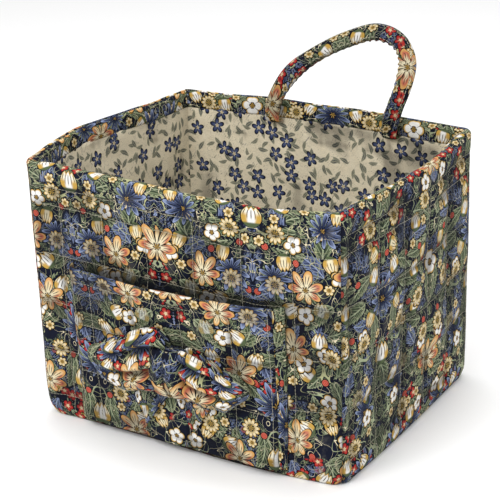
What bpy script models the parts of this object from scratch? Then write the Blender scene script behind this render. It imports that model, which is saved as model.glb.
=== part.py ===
"""Quilted fabric storage basket with a gusseted front pocket, a bow and two
hinged strap handles.

Frame: metres, +Z up, front face towards -Y.  The origin is the centre of the
flat underside.  Walls are laminated from an outer cloth, a layer of wadding
and a lining; each layer is a separate closed solid."""
import bpy
import bmesh
import math
from mathutils import Vector

# ------------------------------------------------------------------ dimensions
WIDTH = 0.278            # outside width at the corners, along X
DEPTH = 0.227            # outside depth at the corners, along Y
HEIGHT = 0.220           # rim height at the corners

OUTER_T = 0.0016         # quilted outer cloth
WADDING_T = 0.0036       # wadding between outer cloth and lining
LINING_T = 0.0020        # lining cloth
BOARD_T = 0.0020         # stiffener under the lining of the base
GAP = 0.0003             # clearance between touching pieces
MITRE = 0.00025          # half clearance at the mitred wall corners

FOOT_RISE = 0.014        # height of the rounded lower edge
FOOT_INSET = 0.003       # how far the lower edge turns in
BELLY = 0.003            # outward puff of each wall at half height

FACING_H = 0.015         # inside height of the facing band
ROLL_H = 0.004           # height of the padded roll on the rim

POCKET_X = -0.003        # centre of the front pocket
POCKET_HALF = 0.0915     # half width of the front pocket
POCKET_TOP = 0.141
POCKET_BOTTOM = 0.0075
POCKET_T = 0.0035        # pocket cloth with its wadding
GUSSET_T = 0.0020
POCKET_PROUD_TOP = 0.0130
POCKET_PROUD_LOW = 0.0070
GUSSET_FLARE = 0.0060    # how far the gusset's wall seam stands outside the front
POCKET_GAPE = 0.0040

BOW_Z = 0.078            # height of the knot's centre
KNOT_W, KNOT_H, KNOT_T = 0.026, 0.036, 0.022

STRAP_W = 0.0150         # handle strap, width
STRAP_T = 0.0076         # handle strap, padded thickness
STRAP_ROOT_T = 0.0036    # thickness where the strap is stitched
STRAP_START = 0.0020     # distance from the fold axis to the strap's end
TAPER_LEN = 0.012
END_W = 0.0140           # sewn end, width
END_T = 0.0024           # sewn end, thickness
AXIS_OFF = 0.0065        # fold axis in front of the inner wall face
HANDLE_X = 0.012         # centre between a handle's two feet
HANDLE_HALF = 0.056      # half the distance between the feet
BACK_AXIS_Z = HEIGHT - 0.016
FRONT_AXIS_Z = HEIGHT - 0.019
BACK_ROOT = 0.020        # straight part of the back strap above its fold
BACK_RADIUS = 0.060      # then it curves out with this radius
BACK_LEAN = math.radians(35.0)
FRONT_LEAN = math.radians(4.5)
FRONT_DROP = 0.086       # how far the front loop hangs

# each wall: outward direction, travel direction, rim bulge, rim sag and how
# far its lower edge bows out
WALLS = {
    "front": dict(n=(0, -1), a=(1, 0), bulge=0.008, bpeak=0.5,
                  sag=0.005, speak=0.75, foot=0.0065, fpeak=0.72),
    "right": dict(n=(1, 0), a=(0, 1), bulge=0.006, bpeak=0.5,
                  sag=0.0035, speak=0.62, foot=0.0025, fpeak=0.40),
    "back": dict(n=(0, 1), a=(-1, 0), bulge=0.008, bpeak=0.5,
                 sag=-0.001, speak=0.5, foot=0.0025, fpeak=0.5),
    "left": dict(n=(-1, 0), a=(0, -1), bulge=0.013, bpeak=0.67,
                 sag=-0.003, speak=0.67, foot=0.0025, fpeak=0.5),
}
NT = 8                   # segments along a wall
LOW = [0.0019, 0.0047, 0.0070, 0.0105, FOOT_RISE, 0.0394, 0.0648]
NMID = 3                 # segments from there to the facing seam
FOOT_FADE = 0.4          # the lower edge's bow is gone at this share of the height


# ------------------------------------------------------------------ scene setup
for ob in list(bpy.data.objects):
    bpy.data.objects.remove(ob, do_unlink=True)


def material(name, colour, rough, metal=0.0):
    m = bpy.data.materials.new(name)
    m.use_nodes = True
    b = m.node_tree.nodes["Principled BSDF"]
    b.inputs["Base Color"].default_value = (*colour, 1.0)
    b.inputs["Roughness"].default_value = rough
    b.inputs["Metallic"].default_value = metal
    return m


def add_object(name, bm, colour, rough=0.9, origin=(0, 0, 0), smooth=True):
    bmesh.ops.recalc_face_normals(bm, faces=bm.faces)
    me = bpy.data.meshes.new(name)
    bm.to_mesh(me)
    bm.free()
    if smooth:
        me.shade_smooth()
        me.set_sharp_from_angle(angle=math.radians(40))
    ob = bpy.data.objects.new(name, me)
    ob.location = origin
    ob.data.materials.append(material(name + "_mat", colour, rough))
    bpy.context.collection.objects.link(ob)
    return ob


PRINT = (0.10, 0.13, 0.12)
CREAM = (0.72, 0.64, 0.48)
WHITE = (0.85, 0.84, 0.80)
BOARD = (0.55, 0.50, 0.42)


# ------------------------------------------------------------------ wall shape
def hump(t, peak):
    """0 at both ends, 1 at t = peak."""
    k = math.log(0.5) / math.log(peak)
    return math.sin(math.pi * max(0.0, min(1.0, t)) ** k)


def inset(z):
    """How far the rounded lower edge is turned in at height z."""
    if z >= FOOT_RISE:
        return 0.0
    return FOOT_INSET * (1.0 - max(z, 0.0) / FOOT_RISE) ** 2


def crest(side, t):
    w = WALLS[side]
    return HEIGHT - w["sag"] * hump(t, w["speak"]) ** 1.3


def outward(side, t, z):
    w = WALLS[side]
    h = max(0.0, min(1.1, z / HEIGHT))
    return (w["bulge"] * hump(t, w["bpeak"]) * h ** 1.6
            + BELLY * math.sin(math.pi * min(h, 1.0)) * math.sin(math.pi * t)
            + w["foot"] * hump(t, w["fpeak"]) * max(0.0, 1.0 - h / FOOT_FADE) ** 2)


def wall_point(side, t, z, depth, mitre=0.0):
    """Point on a wall, `depth` inwards from the outer surface."""
    w = WALLS[side]
    d = depth + inset(z)
    half_a = (WIDTH if w["a"][0] else DEPTH) / 2 - d - mitre
    half_n = (DEPTH if w["a"][0] else WIDTH) / 2 - d + outward(side, t, z)
    along = -half_a + 2 * half_a * t
    return Vector((w["a"][0] * along + w["n"][0] * half_n,
                   w["a"][1] * along + w["n"][1] * half_n, z))


def levels(side, t, first, to_top):
    """Shared heights, so that neighbouring layers have parallel facets."""
    seam = crest(side, t) - FACING_H - GAP
    z = LOW[first:] + [LOW[-1] + (seam - LOW[-1]) * i / NMID
                       for i in range(1, NMID + 1)]
    if to_top:
        z.append(crest(side, t) - ROLL_H - GAP)
    return z


def layer_panel(name, side, d0, d1, first, to_top, colour):
    """A wall layer: a grid laid on the wall and extruded through its depth."""
    nv = len(levels(side, 0.0, first, to_top)) - 1
    bm = bmesh.new()
    bmesh.ops.create_grid(bm, x_segments=NT, y_segments=nv, size=1.0)
    tv = {}
    for v in bm.verts:
        t = (v.co.x + 1) / 2
        j = round((v.co.y + 1) / 2 * nv)
        tv[v] = (t, j)
    res = bmesh.ops.extrude_face_region(bm, geom=list(bm.faces))
    new = [g for g in res["geom"] if isinstance(g, bmesh.types.BMVert)]
    for v in new:
        t = (v.co.x + 1) / 2
        j = round((v.co.y + 1) / 2 * nv)
        v.co = wall_point(side, t, levels(side, t, first, to_top)[j], d1, MITRE)
    for v, (t, j) in tv.items():
        v.co = wall_point(side, t, levels(side, t, first, to_top)[j], d0, MITRE)
    return add_object(name, bm, colour)


D_OUT = (0.0, OUTER_T)
D_WAD = (OUTER_T + GAP, OUTER_T + GAP + WADDING_T)
D_LIN = (D_WAD[1] + GAP, D_WAD[1] + GAP + LINING_T)
WALL_T = D_LIN[1]

for side in WALLS:
    layer_panel("outer_" + side, side, D_OUT[0], D_OUT[1], 0, True, PRINT)
    layer_panel("wadding_" + side, side, D_WAD[0], D_WAD[1], 1, True, WHITE)
    layer_panel("lining_" + side, side, D_LIN[0], D_LIN[1], 2, False, CREAM)


# ------------------------------------------------------------------ base layers
def base_layer(name, zs, depth, colour, rounded=0.0):
    """A slab whose edge follows the walls' turned-in lower edge."""
    bm = bmesh.new()
    rings = []
    for z in zs:
        rings.append([bm.verts.new(wall_point(side, i / NT, z, depth))
                      for side in ("front", "right", "back", "left")
                      for i in range(NT)])
    n = len(rings[0])
    for a, b in zip(rings, rings[1:]):
        for i in range(n):
            j = (i + 1) % n
            bm.faces.new((a[i], a[j], b[j], b[i]))
    bm.faces.new(rings[0][::-1])
    bm.faces.new(rings[-1])
    if rounded:
        edges = [e for e in bm.edges
                 if abs(e.verts[0].co.z - e.verts[1].co.z) > 1e-6
                 and abs(e.verts[0].co.x) > WIDTH / 2 - 0.02
                 and abs(e.verts[0].co.y) > DEPTH / 2 - 0.02]
        bmesh.ops.bevel(bm, geom=edges, offset=rounded, segments=3,
                        affect='EDGES', profile=0.5)
    return add_object(name, bm, colour)


base_layer("outer_base", [0.0, 0.0008, 0.0016], 0.0, PRINT)
base_layer("wadding_base", [0.0019, 0.0044], OUTER_T + GAP + 0.0003, WHITE)
base_layer("base_board", [0.0047, 0.0047 + BOARD_T], D_WAD[1] + GAP + 0.0003,
           BOARD, rounded=0.010)
base_layer("lining_base", [0.0070, 0.0090], WALL_T + GAP + 0.0003, CREAM)


# ------------------------------------------------------------------ rim facing
def rim_facing():
    """A ring: a padded roll over the rim with a band down the inside."""
    r = ROLL_H
    roll = [(WALL_T / 2 - WALL_T / 2 * math.cos(math.pi * i / 6),
             -r + r * math.sin(math.pi * i / 6)) for i in range(7)]
    prof = roll + [(WALL_T, -FACING_H), (D_LIN[0], -FACING_H), (D_LIN[0], -r)]
    bm = bmesh.new()
    loops = []
    for side in ("front", "right", "back", "left"):
        for i in range(NT):
            t = i / NT
            top = crest(side, t)
            loops.append([bm.verts.new(wall_point(side, t, top + w, d))
                          for d, w in prof])
    n = len(prof)
    for a, b in zip(loops, loops[1:] + loops[:1]):
        for i in range(n):
            j = (i + 1) % n
            bm.faces.new((a[i], b[i], b[j], a[j]))
    return add_object("rim_facing", bm, PRINT)


rim_facing()


# ------------------------------------------------------------------ front pocket
def front_y(x, z, depth=0.0):
    """Y of the front wall's surface at x, z."""
    d = depth + inset(z)
    t = (x + WIDTH / 2) / WIDTH
    return -(DEPTH / 2 - d + outward("front", t, z))


def pocket_proud(x, z):
    """How far the pocket's outer face stands in front of the wall."""
    u = (x - POCKET_X) / POCKET_HALF
    h = max(0.0, (z - POCKET_BOTTOM) / (POCKET_TOP - POCKET_BOTTOM))
    side = POCKET_PROUD_LOW + (POCKET_PROUD_TOP - POCKET_PROUD_LOW) * h ** 1.1
    gape = POCKET_GAPE * math.cos(math.pi / 2 * min(1.0, abs(u))) * h ** 3
    return side + gape


def grid_slab(name, nu, nv, outer, inner, colour):
    """A grid extruded once; both faces are placed by functions of (u, v)."""
    bm = bmesh.new()
    bmesh.ops.create_grid(bm, x_segments=nu, y_segments=nv, size=1.0)
    first = {v: ((v.co.x + 1) / 2, (v.co.y + 1) / 2) for v in bm.verts}
    res = bmesh.ops.extrude_face_region(bm, geom=list(bm.faces))
    new = [g for g in res["geom"] if isinstance(g, bmesh.types.BMVert)]
    second = {v: ((v.co.x + 1) / 2, (v.co.y + 1) / 2) for v in new}
    for v, (a, b) in first.items():
        v.co = outer(a, b)
    for v, (a, b) in second.items():
        v.co = inner(a, b)
    return add_object(name, bm, colour)


NPZ = 7                  # segments up the pocket


def pocket_z(v):
    """Heights up the pocket, closer together on the rounded lower edge."""
    i = round(v * NPZ)
    if i < 2:
        return (POCKET_BOTTOM, 0.0105)[i]
    return FOOT_RISE + (POCKET_TOP - FOOT_RISE) * (i - 2) / (NPZ - 2)


def pocket_xz(u, v):
    return POCKET_X + POCKET_HALF * (2 * u - 1), pocket_z(v)


def pocket_outer(u, v):
    x, z = pocket_xz(u, v)
    return Vector((x, front_y(x, z) - pocket_proud(x, z), z))


def pocket_inner(u, v):
    p = pocket_outer(u, v)
    return Vector((p.x, p.y + POCKET_T, p.z))


grid_slab("pocket_front", 8, NPZ, pocket_outer, pocket_inner, PRINT)


def gusset(name, sign):
    """A side strip that flares from the pocket's front back to the wall."""
    edge = POCKET_X + sign * (POCKET_HALF - 0.0005)

    def place(dx):
        def f(u, v):
            z = pocket_z(v)
            x_front = edge - sign * dx
            x_wall = x_front + sign * GUSSET_FLARE
            back = front_y(x_wall, z) - GAP - 0.0002
            front = (front_y(x_front, z) - pocket_proud(x_front, z)
                     + POCKET_T + GAP + 0.0002)
            return Vector((x_wall + (x_front - x_wall) * u,
                           back + (front - back) * u, z))
        return f
    grid_slab(name, 1, NPZ, place(0.0), place(GUSSET_T), PRINT)


gusset("pocket_left_gusset", -1)
gusset("pocket_right_gusset", 1)


# ------------------------------------------------------------------ bow
def pocket_face_y(x, z):
    return front_y(x, z) - pocket_proud(x, z)


def lobe(name, stations, sides=10, beside=True):
    """A soft flattened tube through (x, z, half height, thickness, lift)
    stations, lying on the pocket."""
    bm = bmesh.new()
    loops = []
    n = len(stations)
    for i, (x, z, hh, th, lift) in enumerate(stations):
        x0, z0 = stations[max(i - 1, 0)][:2]
        x1, z1 = stations[min(i + 1, n - 1)][:2]
        L = math.hypot(x1 - x0, z1 - z0)
        nx, nz = -(z1 - z0) / L, (x1 - x0) / L
        if i == 0:                             # cut square against the knot
            nx, nz = ((0.0, math.copysign(1.0, nz)) if beside
                      else (math.copysign(1.0, nx), 0.0))
        ring = []
        for k in range(sides):
            a = 2 * math.pi * k / sides
            c, s = math.cos(a), math.sin(a)
            px = x + nx * hh * c
            pz = z + nz * hh * c
            y = pocket_face_y(px, pz) - 0.0005 - lift - th * (0.5 + 0.5 * s)
            ring.append(bm.verts.new((px, y, pz)))
        loops.append(ring)
    for a, b in zip(loops, loops[1:]):
        for k in range(sides):
            j = (k + 1) % sides
            bm.faces.new((a[k], a[j], b[j], b[k]))
    bm.faces.new(loops[0][::-1])
    bm.faces.new(loops[-1])
    return add_object(name, bm, PRINT)


def loop_stations(sign, tip_x, tip_z, peak):
    """From beside the knot out to the loop's tip."""
    out = []
    x0 = sign * (KNOT_W / 2 + 0.0008)
    for i in range(8):
        u = i / 7
        x = x0 + (sign * tip_x - x0) * u
        z = BOW_Z + 0.002 + (tip_z - BOW_Z) * u + peak * math.sin(math.pi * u)
        hh = 0.010 + 0.017 * math.sin(math.pi * min(1.0, 0.15 + u * 0.75)) ** 1.1
        if i == 7:
            hh *= 0.62
        th = 0.010 + 0.010 * math.sin(math.pi * (0.15 + 0.75 * u))
        out.append((x, z, hh, th, 0.0))
    return out


lobe("bow_left_loop", loop_stations(-1, 0.076, 0.076, 0.004))
lobe("bow_right_loop", loop_stations(1, 0.068, 0.074, 0.003))


def tail_stations(sign, end_x, end_z):
    out = []
    x0, z0 = sign * 0.006, BOW_Z - KNOT_H / 2 - 0.0012
    for i in range(4):
        u = i / 3
        x = x0 + (sign * end_x - x0) * u
        z = z0 + (end_z - z0) * u
        out.append((x, z, 0.0050 + 0.0045 * u, 0.0045, 0.0))
    return out


lobe("bow_left_tail", tail_stations(-1, 0.034, 0.034), 8, False)
lobe("bow_right_tail", tail_stations(1, 0.026, 0.036), 8, False)


def knot():
    """A padded band wrapped over the bow's middle."""
    bm = bmesh.new()
    loops = []
    rows, sides = 7, 12
    for i in range(rows):
        u = i / (rows - 1)
        z = BOW_Z + KNOT_H * (u - 0.5)
        fat = 0.62 + 0.38 * math.sin(math.pi * u)
        ring = []
        for k in range(sides):
            a = 2 * math.pi * k / sides
            ca, sa = math.cos(a), math.sin(a)
            px = math.copysign(abs(ca) ** 0.6, ca) * KNOT_W / 2 * (0.86 + 0.14 * fat)
            sy = 0.5 + 0.5 * math.copysign(abs(sa) ** 0.6, sa)
            y = pocket_face_y(px, z) - 0.0005 - KNOT_T * fat * sy
            ring.append(bm.verts.new((px, y, z)))
        loops.append(ring)
    for a, b in zip(loops, loops[1:]):
        for k in range(sides):
            j = (k + 1) % sides
            bm.faces.new((a[k], a[j], b[j], b[k]))
    bm.faces.new(loops[0][::-1])
    bm.faces.new(loops[-1])
    return add_object("bow_knot", bm, PRINT)


knot()


# ------------------------------------------------------------------ handles
def inner_face_y(side, x, z):
    """Y of the lining side of the front or back wall."""
    t = (x + WIDTH / 2) / WIDTH
    if side == "back":
        t = 1.0 - t
    y = DEPTH / 2 - WALL_T + outward(side, t, z)
    return y if side == "back" else -y


FEET = (HANDLE_X - HANDLE_HALF, HANDLE_X + HANDLE_HALF)
BACK_AXIS_Y = min(inner_face_y("back", x, BACK_AXIS_Z) for x in FEET) - AXIS_OFF
FRONT_AXIS_Y = max(inner_face_y("front", x, FRONT_AXIS_Z) for x in FEET) + AXIS_OFF


def sewn_end(name, side, x, axis_y, axis_z):
    """The strap's flat stitched end, from the wall to the fold."""
    bm = bmesh.new()
    s = 1 if side == "back" else -1
    face = min(abs(inner_face_y(side, x + dx, axis_z + dz))
               for dx in (-END_W / 2, 0, END_W / 2)
               for dz in (-END_T / 2, END_T / 2))
    y_wall = s * (face - GAP - 0.0001)
    r = END_T / 2
    prof = [(y_wall, axis_z - r), (y_wall, axis_z + r)]
    for i in range(5):
        a = math.pi / 2 - math.pi * i / 4
        prof.append((axis_y - s * r * math.cos(a), axis_z + r * math.sin(a)))
    rings = [[bm.verts.new((x + dx, y, z)) for y, z in prof]
             for dx in (-END_W / 2, END_W / 2)]
    n = len(prof)
    for i in range(n):
        j = (i + 1) % n
        bm.faces.new((rings[0][i], rings[0][j], rings[1][j], rings[1][i]))
    bm.faces.new(rings[0][::-1])
    bm.faces.new(rings[1])
    return add_object(name, bm, PRINT)


for tag, x in (("left", FEET[0]), ("right", FEET[1])):
    sewn_end("back_handle_%s_end" % tag, "back", x, BACK_AXIS_Y, BACK_AXIS_Z)
    sewn_end("front_handle_%s_end" % tag, "front", x, FRONT_AXIS_Y, FRONT_AXIS_Z)


def back_surface(s):
    """(y, z, lean) at distance s up the leaning sheet the back loop lies in."""
    if s <= BACK_ROOT:
        return 0.0, s, 0.0
    th = (s - BACK_ROOT) / BACK_RADIUS
    if th <= BACK_LEAN:
        return (BACK_RADIUS * (1 - math.cos(th)),
                BACK_ROOT + BACK_RADIUS * math.sin(th), th)
    e = s - BACK_ROOT - BACK_RADIUS * BACK_LEAN
    return (BACK_RADIUS * (1 - math.cos(BACK_LEAN)) + e * math.sin(BACK_LEAN),
            BACK_ROOT + BACK_RADIUS * math.sin(BACK_LEAN) + e * math.cos(BACK_LEAN),
            BACK_LEAN)


def front_surface(s):
    return s * math.sin(FRONT_LEAN), -s * math.cos(FRONT_LEAN), FRONT_LEAN


def catmull(points, per):
    """A smooth curve through the given points."""
    pts = [Vector(p) for p in points]
    pts = [2 * pts[0] - pts[1]] + pts + [2 * pts[-1] - pts[-2]]
    out = []
    for i in range(1, len(pts) - 2):
        a, b, c, d = pts[i - 1:i + 3]
        for k in range(per):
            t = k / per
            out.append(0.5 * ((2 * b) + (c - a) * t
                              + (2 * a - 5 * b + 4 * c - d) * t * t
                              + (3 * b - a - 3 * c + d) * t ** 3))
    out.append(pts[-2])
    return out


# the back loop stands up and flops towards +X; (x, s) in its own sheet
BACK_LOOP = [(FEET[0], STRAP_START), (FEET[0] + 0.002, 0.015),
             (-0.0345, 0.031), (-0.0215, 0.050), (-0.0030, 0.0665),
             (0.0190, 0.0800), (0.0420, 0.0885), (0.0635, 0.0830),
             (0.0765, 0.0665), (0.0780, 0.0460), (0.0730, 0.0270),
             (FEET[1] + 0.001, 0.0130), (FEET[1], STRAP_START)]


def front_loop():
    """The front loop hangs: two straight legs and half an ellipse."""
    leg = 0.014
    pts = [(FEET[0], STRAP_START), (FEET[0], leg)]
    n = 12
    for i in range(1, n):
        a = math.pi * i / n
        pts.append((HANDLE_X - HANDLE_HALF * math.cos(a),
                    leg + (FRONT_DROP - leg) * math.sin(a) ** 0.92))
    pts += [(FEET[1], leg), (FEET[1], STRAP_START)]
    return pts


def strap(name, plan, surface, flip, axis_y, axis_z):
    """A padded strap swept along its path, its flat side in the sheet."""
    total = [0.0]
    for a, b in zip(plan, plan[1:]):
        total.append(total[-1] + (b - a).length)
    L = total[-1]
    bm = bmesh.new()
    loops = []
    n = len(plan)
    sides = 8
    for i, p in enumerate(plan):
        q0, q1 = plan[max(i - 1, 0)], plan[min(i + 1, n - 1)]
        tx, ts = (q1 - q0).normalized()
        wx, ws = ts, -tx                       # across the strap, in the sheet
        e = min(total[i], L - total[i])
        k = min(1.0, e / TAPER_LEN)
        k = k * k * (3 - 2 * k)
        th = STRAP_ROOT_T + (STRAP_T - STRAP_ROOT_T) * k
        ring = []
        for m in range(sides):
            a = 2 * math.pi * (m + 0.5) / sides
            c, s = math.cos(a), math.sin(a)
            c = math.copysign(abs(c) ** 0.7, c)
            s = math.copysign(abs(s) ** 0.7, s)
            x = p[0] + wx * c * STRAP_W / 2
            y0, z0, lean = surface(max(p[1] + ws * c * STRAP_W / 2, 0.0))
            h = s * th / 2
            # the sheet's normal points outwards from the wall
            ring.append(bm.verts.new((x, flip * (y0 + h * math.cos(lean)),
                                      z0 - h * math.sin(lean) * (1 if z0 > 0 else -1))))
        loops.append(ring)
    for a, b in zip(loops, loops[1:]):
        for m in range(sides):
            j = (m + 1) % sides
            bm.faces.new((a[m], a[j], b[j], b[m]))
    bm.faces.new(loops[0][::-1])
    bm.faces.new(loops[-1])
    ob = add_object(name, bm, PRINT, origin=(0, 0, 0))
    pivot = bpy.data.objects.new(name + "_fold_axis", None)
    pivot.location = (0, axis_y, axis_z)
    bpy.context.collection.objects.link(pivot)
    ob.parent = pivot
    return L


strap("back_handle_strap", catmull([Vector(p) for p in BACK_LOOP], 3),
      back_surface, 1, BACK_AXIS_Y, BACK_AXIS_Z)
strap("front_handle_strap", catmull([Vector(p) for p in front_loop()], 2),
      front_surface, 1, FRONT_AXIS_Y, FRONT_AXIS_Z)
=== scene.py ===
"""Looks of the quilted storage basket: cloth panels, lining, pocket, bow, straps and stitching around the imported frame."""
import bpy, math
import numpy as np
from mathutils import Matrix, Vector


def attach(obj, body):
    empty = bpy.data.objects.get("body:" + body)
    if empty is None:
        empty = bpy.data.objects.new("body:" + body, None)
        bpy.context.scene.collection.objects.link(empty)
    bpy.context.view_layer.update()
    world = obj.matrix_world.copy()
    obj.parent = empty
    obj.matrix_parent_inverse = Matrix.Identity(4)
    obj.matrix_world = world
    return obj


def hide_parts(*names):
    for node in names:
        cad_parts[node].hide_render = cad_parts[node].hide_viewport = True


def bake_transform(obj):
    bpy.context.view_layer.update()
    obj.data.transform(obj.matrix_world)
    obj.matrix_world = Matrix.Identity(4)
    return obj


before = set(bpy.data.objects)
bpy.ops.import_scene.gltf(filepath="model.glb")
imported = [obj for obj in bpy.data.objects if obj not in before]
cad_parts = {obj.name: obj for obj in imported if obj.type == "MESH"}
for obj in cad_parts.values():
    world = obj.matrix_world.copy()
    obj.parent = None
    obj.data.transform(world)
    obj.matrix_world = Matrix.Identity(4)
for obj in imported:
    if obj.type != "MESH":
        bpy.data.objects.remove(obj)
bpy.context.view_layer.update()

# ------------------------------------------------------------------ sizes of the CAD model
W, D, H = 0.278, 0.227, 0.220
OUT_T, WAD_T, LIN_T, GAP = 0.0016, 0.0036, 0.0020, 0.0003
WALL_T = OUT_T + WAD_T + LIN_T + 2 * GAP
FOOT_RISE, FOOT_INSET, BELLY, FOOT_FADE = 0.014, 0.003, 0.003, 0.4
FACING_H, ROLL_H = 0.015, 0.004
POCKET_X, POCKET_HALF, POCKET_TOP, POCKET_BOTTOM = -0.003, 0.0915, 0.141, 0.0075
PROUD_TOP, PROUD_LOW, GAPE, FLARE = 0.0130, 0.0070, 0.0040, 0.0060
BOW_Z = 0.078
SIDES = {
    "front": dict(n=(0, -1), a=(1, 0), bulge=0.008, bpeak=0.5, sag=0.005, speak=0.75, foot=0.0065, fpeak=0.72, first=0.029, rt=(0.0085, 0.0050), push=(0.0042, 0.0008), rc=(0.016, 0.009), uv=(0.0405, 0.02)),
    "right": dict(n=(1, 0), a=(0, 1), bulge=0.006, bpeak=0.5, sag=0.0035, speak=0.62, foot=0.0025, fpeak=0.40, first=0.012, rt=(0.0050, 0.0065), push=(0.0008, 0.0010), rc=(0.009, 0.012), uv=(0.52, 0.31)),
    "back": dict(n=(0, 1), a=(-1, 0), bulge=0.008, bpeak=0.5, sag=-0.001, speak=0.5, foot=0.0025, fpeak=0.5, first=0.029, rt=(0.0065, 0.0065), push=(0.0010, 0.0010), rc=(0.012, 0.012), uv=(1.13, 0.77)),
    "left": dict(n=(-1, 0), a=(0, -1), bulge=0.013, bpeak=0.67, sag=-0.003, speak=0.67, foot=0.0025, fpeak=0.5, first=0.012, rt=(0.0065, 0.0085), push=(0.0010, 0.0042), rc=(0.012, 0.016), uv=(1.71, 1.19)),
}
QUILT = 0.0418


def hump(t, peak):
    k = math.log(0.5) / math.log(peak)
    return np.sin(math.pi * np.clip(t, 0.0, 1.0) ** k)


def inset(z):
    return np.where(z < FOOT_RISE, FOOT_INSET * (1 - np.clip(z, 0, 1) / FOOT_RISE) ** 2, 0.0)


def crest(side, t):
    w = SIDES[side]
    return H - w["sag"] * hump(t, w["speak"]) ** 1.3


def outward(side, t, z):
    w = SIDES[side]
    h = np.clip(z / H, 0, 1.1)
    return (w["bulge"] * hump(t, w["bpeak"]) * h ** 1.6 + BELLY * np.sin(math.pi * np.minimum(h, 1)) * np.sin(math.pi * np.clip(t, 0, 1))
            + w["foot"] * hump(t, w["fpeak"]) * np.maximum(0.0, 1 - h / FOOT_FADE) ** 2)


def wob(x, y, seed, size, n=7):
    """Smooth, repeatable unevenness in about -1..1, with features of this size."""
    r = np.random.default_rng(seed)
    out = np.zeros(np.broadcast(x, y).shape)
    for _ in range(n):
        a, p, f = r.uniform(0, 2 * math.pi), r.uniform(0, 2 * math.pi), r.uniform(0.6, 1.6) / size
        out += np.sin((x * math.cos(a) + y * math.sin(a)) * f * 2 * math.pi / 2 + p)
    return out / math.sqrt(n) / 1.4


def smooth(x, a, b):
    t = np.clip((x - a) / (b - a), 0, 1)
    return t * t * (3 - 2 * t)


def line_gap(s, first, step):
    """Distance from s to the nearest line of a family."""
    return np.abs((s - first + step / 2) % step - step / 2)


def relief(side, s, below, seed=0, puff=0.0025, top=0.0195):
    """How far the quilted cloth stands out at s along the wall and `below` the rim."""
    w = SIDES[side]
    dv = line_gap(s, w["first"], QUILT)
    dh = np.where(below > 0.026, line_gap(below, 0.0345, QUILT * 0.995), np.minimum(np.abs(below - 0.0345), 0.02))
    dt = np.abs(below - top)
    q = (1 - np.exp(-dv / 0.0042)) * (1 - np.exp(-dh / 0.0042))
    q = np.where(below < top, 1 - np.exp(-dt / 0.0035), q * (1 - 0.8 * np.exp(-dt / 0.0030)))
    pucker = (np.exp(-dv / 0.0045) * np.sin(below / 0.0095 * 2 * math.pi + 3 * wob(s, below, seed + 5, 0.05))
              + np.exp(-dh / 0.0045) * np.sin(s / 0.0105 * 2 * math.pi + 3 * wob(s, below, seed + 6, 0.05)))
    pucker = pucker + 0.9 * np.exp(-dt / 0.005) * np.sin(s / 0.012 * 2 * math.pi + 4 * wob(s, below, seed + 8, 0.04))
    crease = wob(s, below, seed + 1, 0.060) * 0.0017 + wob(s * 1.6, below, seed + 2, 0.026) * 0.0008
    return puff * (q - 0.75) + 0.00030 * pucker + crease


def wall(side, t, z, depth, lift=0.0):
    """Point and outward normal on a wall, `depth` inside its outer surface, with rounded corners."""
    w = SIDES[side]
    n, a = np.array([*w["n"], 0.0]), np.array([*w["a"], 0.0])
    La, Ln = (W, D) if w["a"][0] else (D, W)
    half = La / 2 - depth - inset(z)
    low = np.clip(1 - z / 0.034, 0, 1) ** 2
    rtop = np.where(t < 0.5, w["rt"][0], w["rt"][1])
    rc = rtop + low * (np.where(t < 0.5, w["rc"][0], w["rc"][1]) - rtop)
    rc = np.maximum(rc - depth, 0.0012)
    s = (2 * t - 1) * half
    e = np.clip(1 - (half - np.abs(s)) / rc, 0, 1)
    phi = e * math.pi / 4
    along = np.where(e > 0, np.sign(s) * (half - rc + rc * np.sin(phi)), s)
    back = rc * (1 - np.cos(phi))
    nrm = n * np.cos(phi)[..., None] + a * (np.sin(phi) * np.sign(s))[..., None]
    off = Ln / 2 - depth - inset(z) - back + outward(side, t, z)
    push = np.where(t < 0.5, w["push"][0], w["push"][1]) * np.exp(-((half - np.abs(s)) / 0.014) ** 2) * (0.55 + 0.45 * np.clip(z / H, 0, 1) ** 2)
    p = a * along[..., None] + n * off[..., None] + nrm * push[..., None]
    p[..., 2] += z
    tilt = np.clip(1 - z / FOOT_RISE, 0, 1) * 0.75
    nrm = nrm.copy()
    nrm[..., 2] -= tilt
    nrm /= np.linalg.norm(nrm, axis=-1, keepdims=True)
    return p + nrm * np.asarray(lift)[..., None], nrm


def seam_dip(t, L, width=0.0035, deep=0.0009):
    e = (0.5 - np.abs(t - 0.5)) * L
    return -deep * np.exp(-(e / width) ** 2)


# ------------------------------------------------------------------ mesh helpers
def new_object(name, verts, faces, uv=None, smooth_faces=True, attrs=None):
    me = bpy.data.meshes.new(name)
    me.from_pydata([tuple(v) for v in np.asarray(verts).reshape(-1, 3)], [], faces)
    me.update()
    if uv is not None:
        lay = me.uv_layers.new(name="ClothUV")
        li = np.zeros(len(me.loops), np.int32)
        me.loops.foreach_get("vertex_index", li)
        lay.data.foreach_set("uv", np.asarray(uv, np.float32).reshape(-1, 2)[li].ravel())
    for k, v in (attrs or {}).items():
        at = me.attributes.new(k, "FLOAT", "POINT")
        at.data.foreach_set("value", np.asarray(v, np.float32).ravel())
    if smooth_faces:
        me.shade_smooth()
    ob = bpy.data.objects.new(name, me)
    bpy.context.scene.collection.objects.link(ob)
    return ob


def grid_faces(nu, nv, off=0, flip=False, wrap_u=False, wrap_v=False):
    iu = np.arange(nu if wrap_u else nu - 1)
    iv = np.arange(nv if wrap_v else nv - 1)
    A, B = np.meshgrid(iu, iv, indexing="ij")
    A, B = A.ravel(), B.ravel()
    A2, B2 = (A + 1) % nu, (B + 1) % nv
    q = np.stack([A * nv + B, A2 * nv + B, A2 * nv + B2, A * nv + B2], 1) + off
    if flip:
        q = q[:, ::-1]
    return q.tolist()


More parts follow.
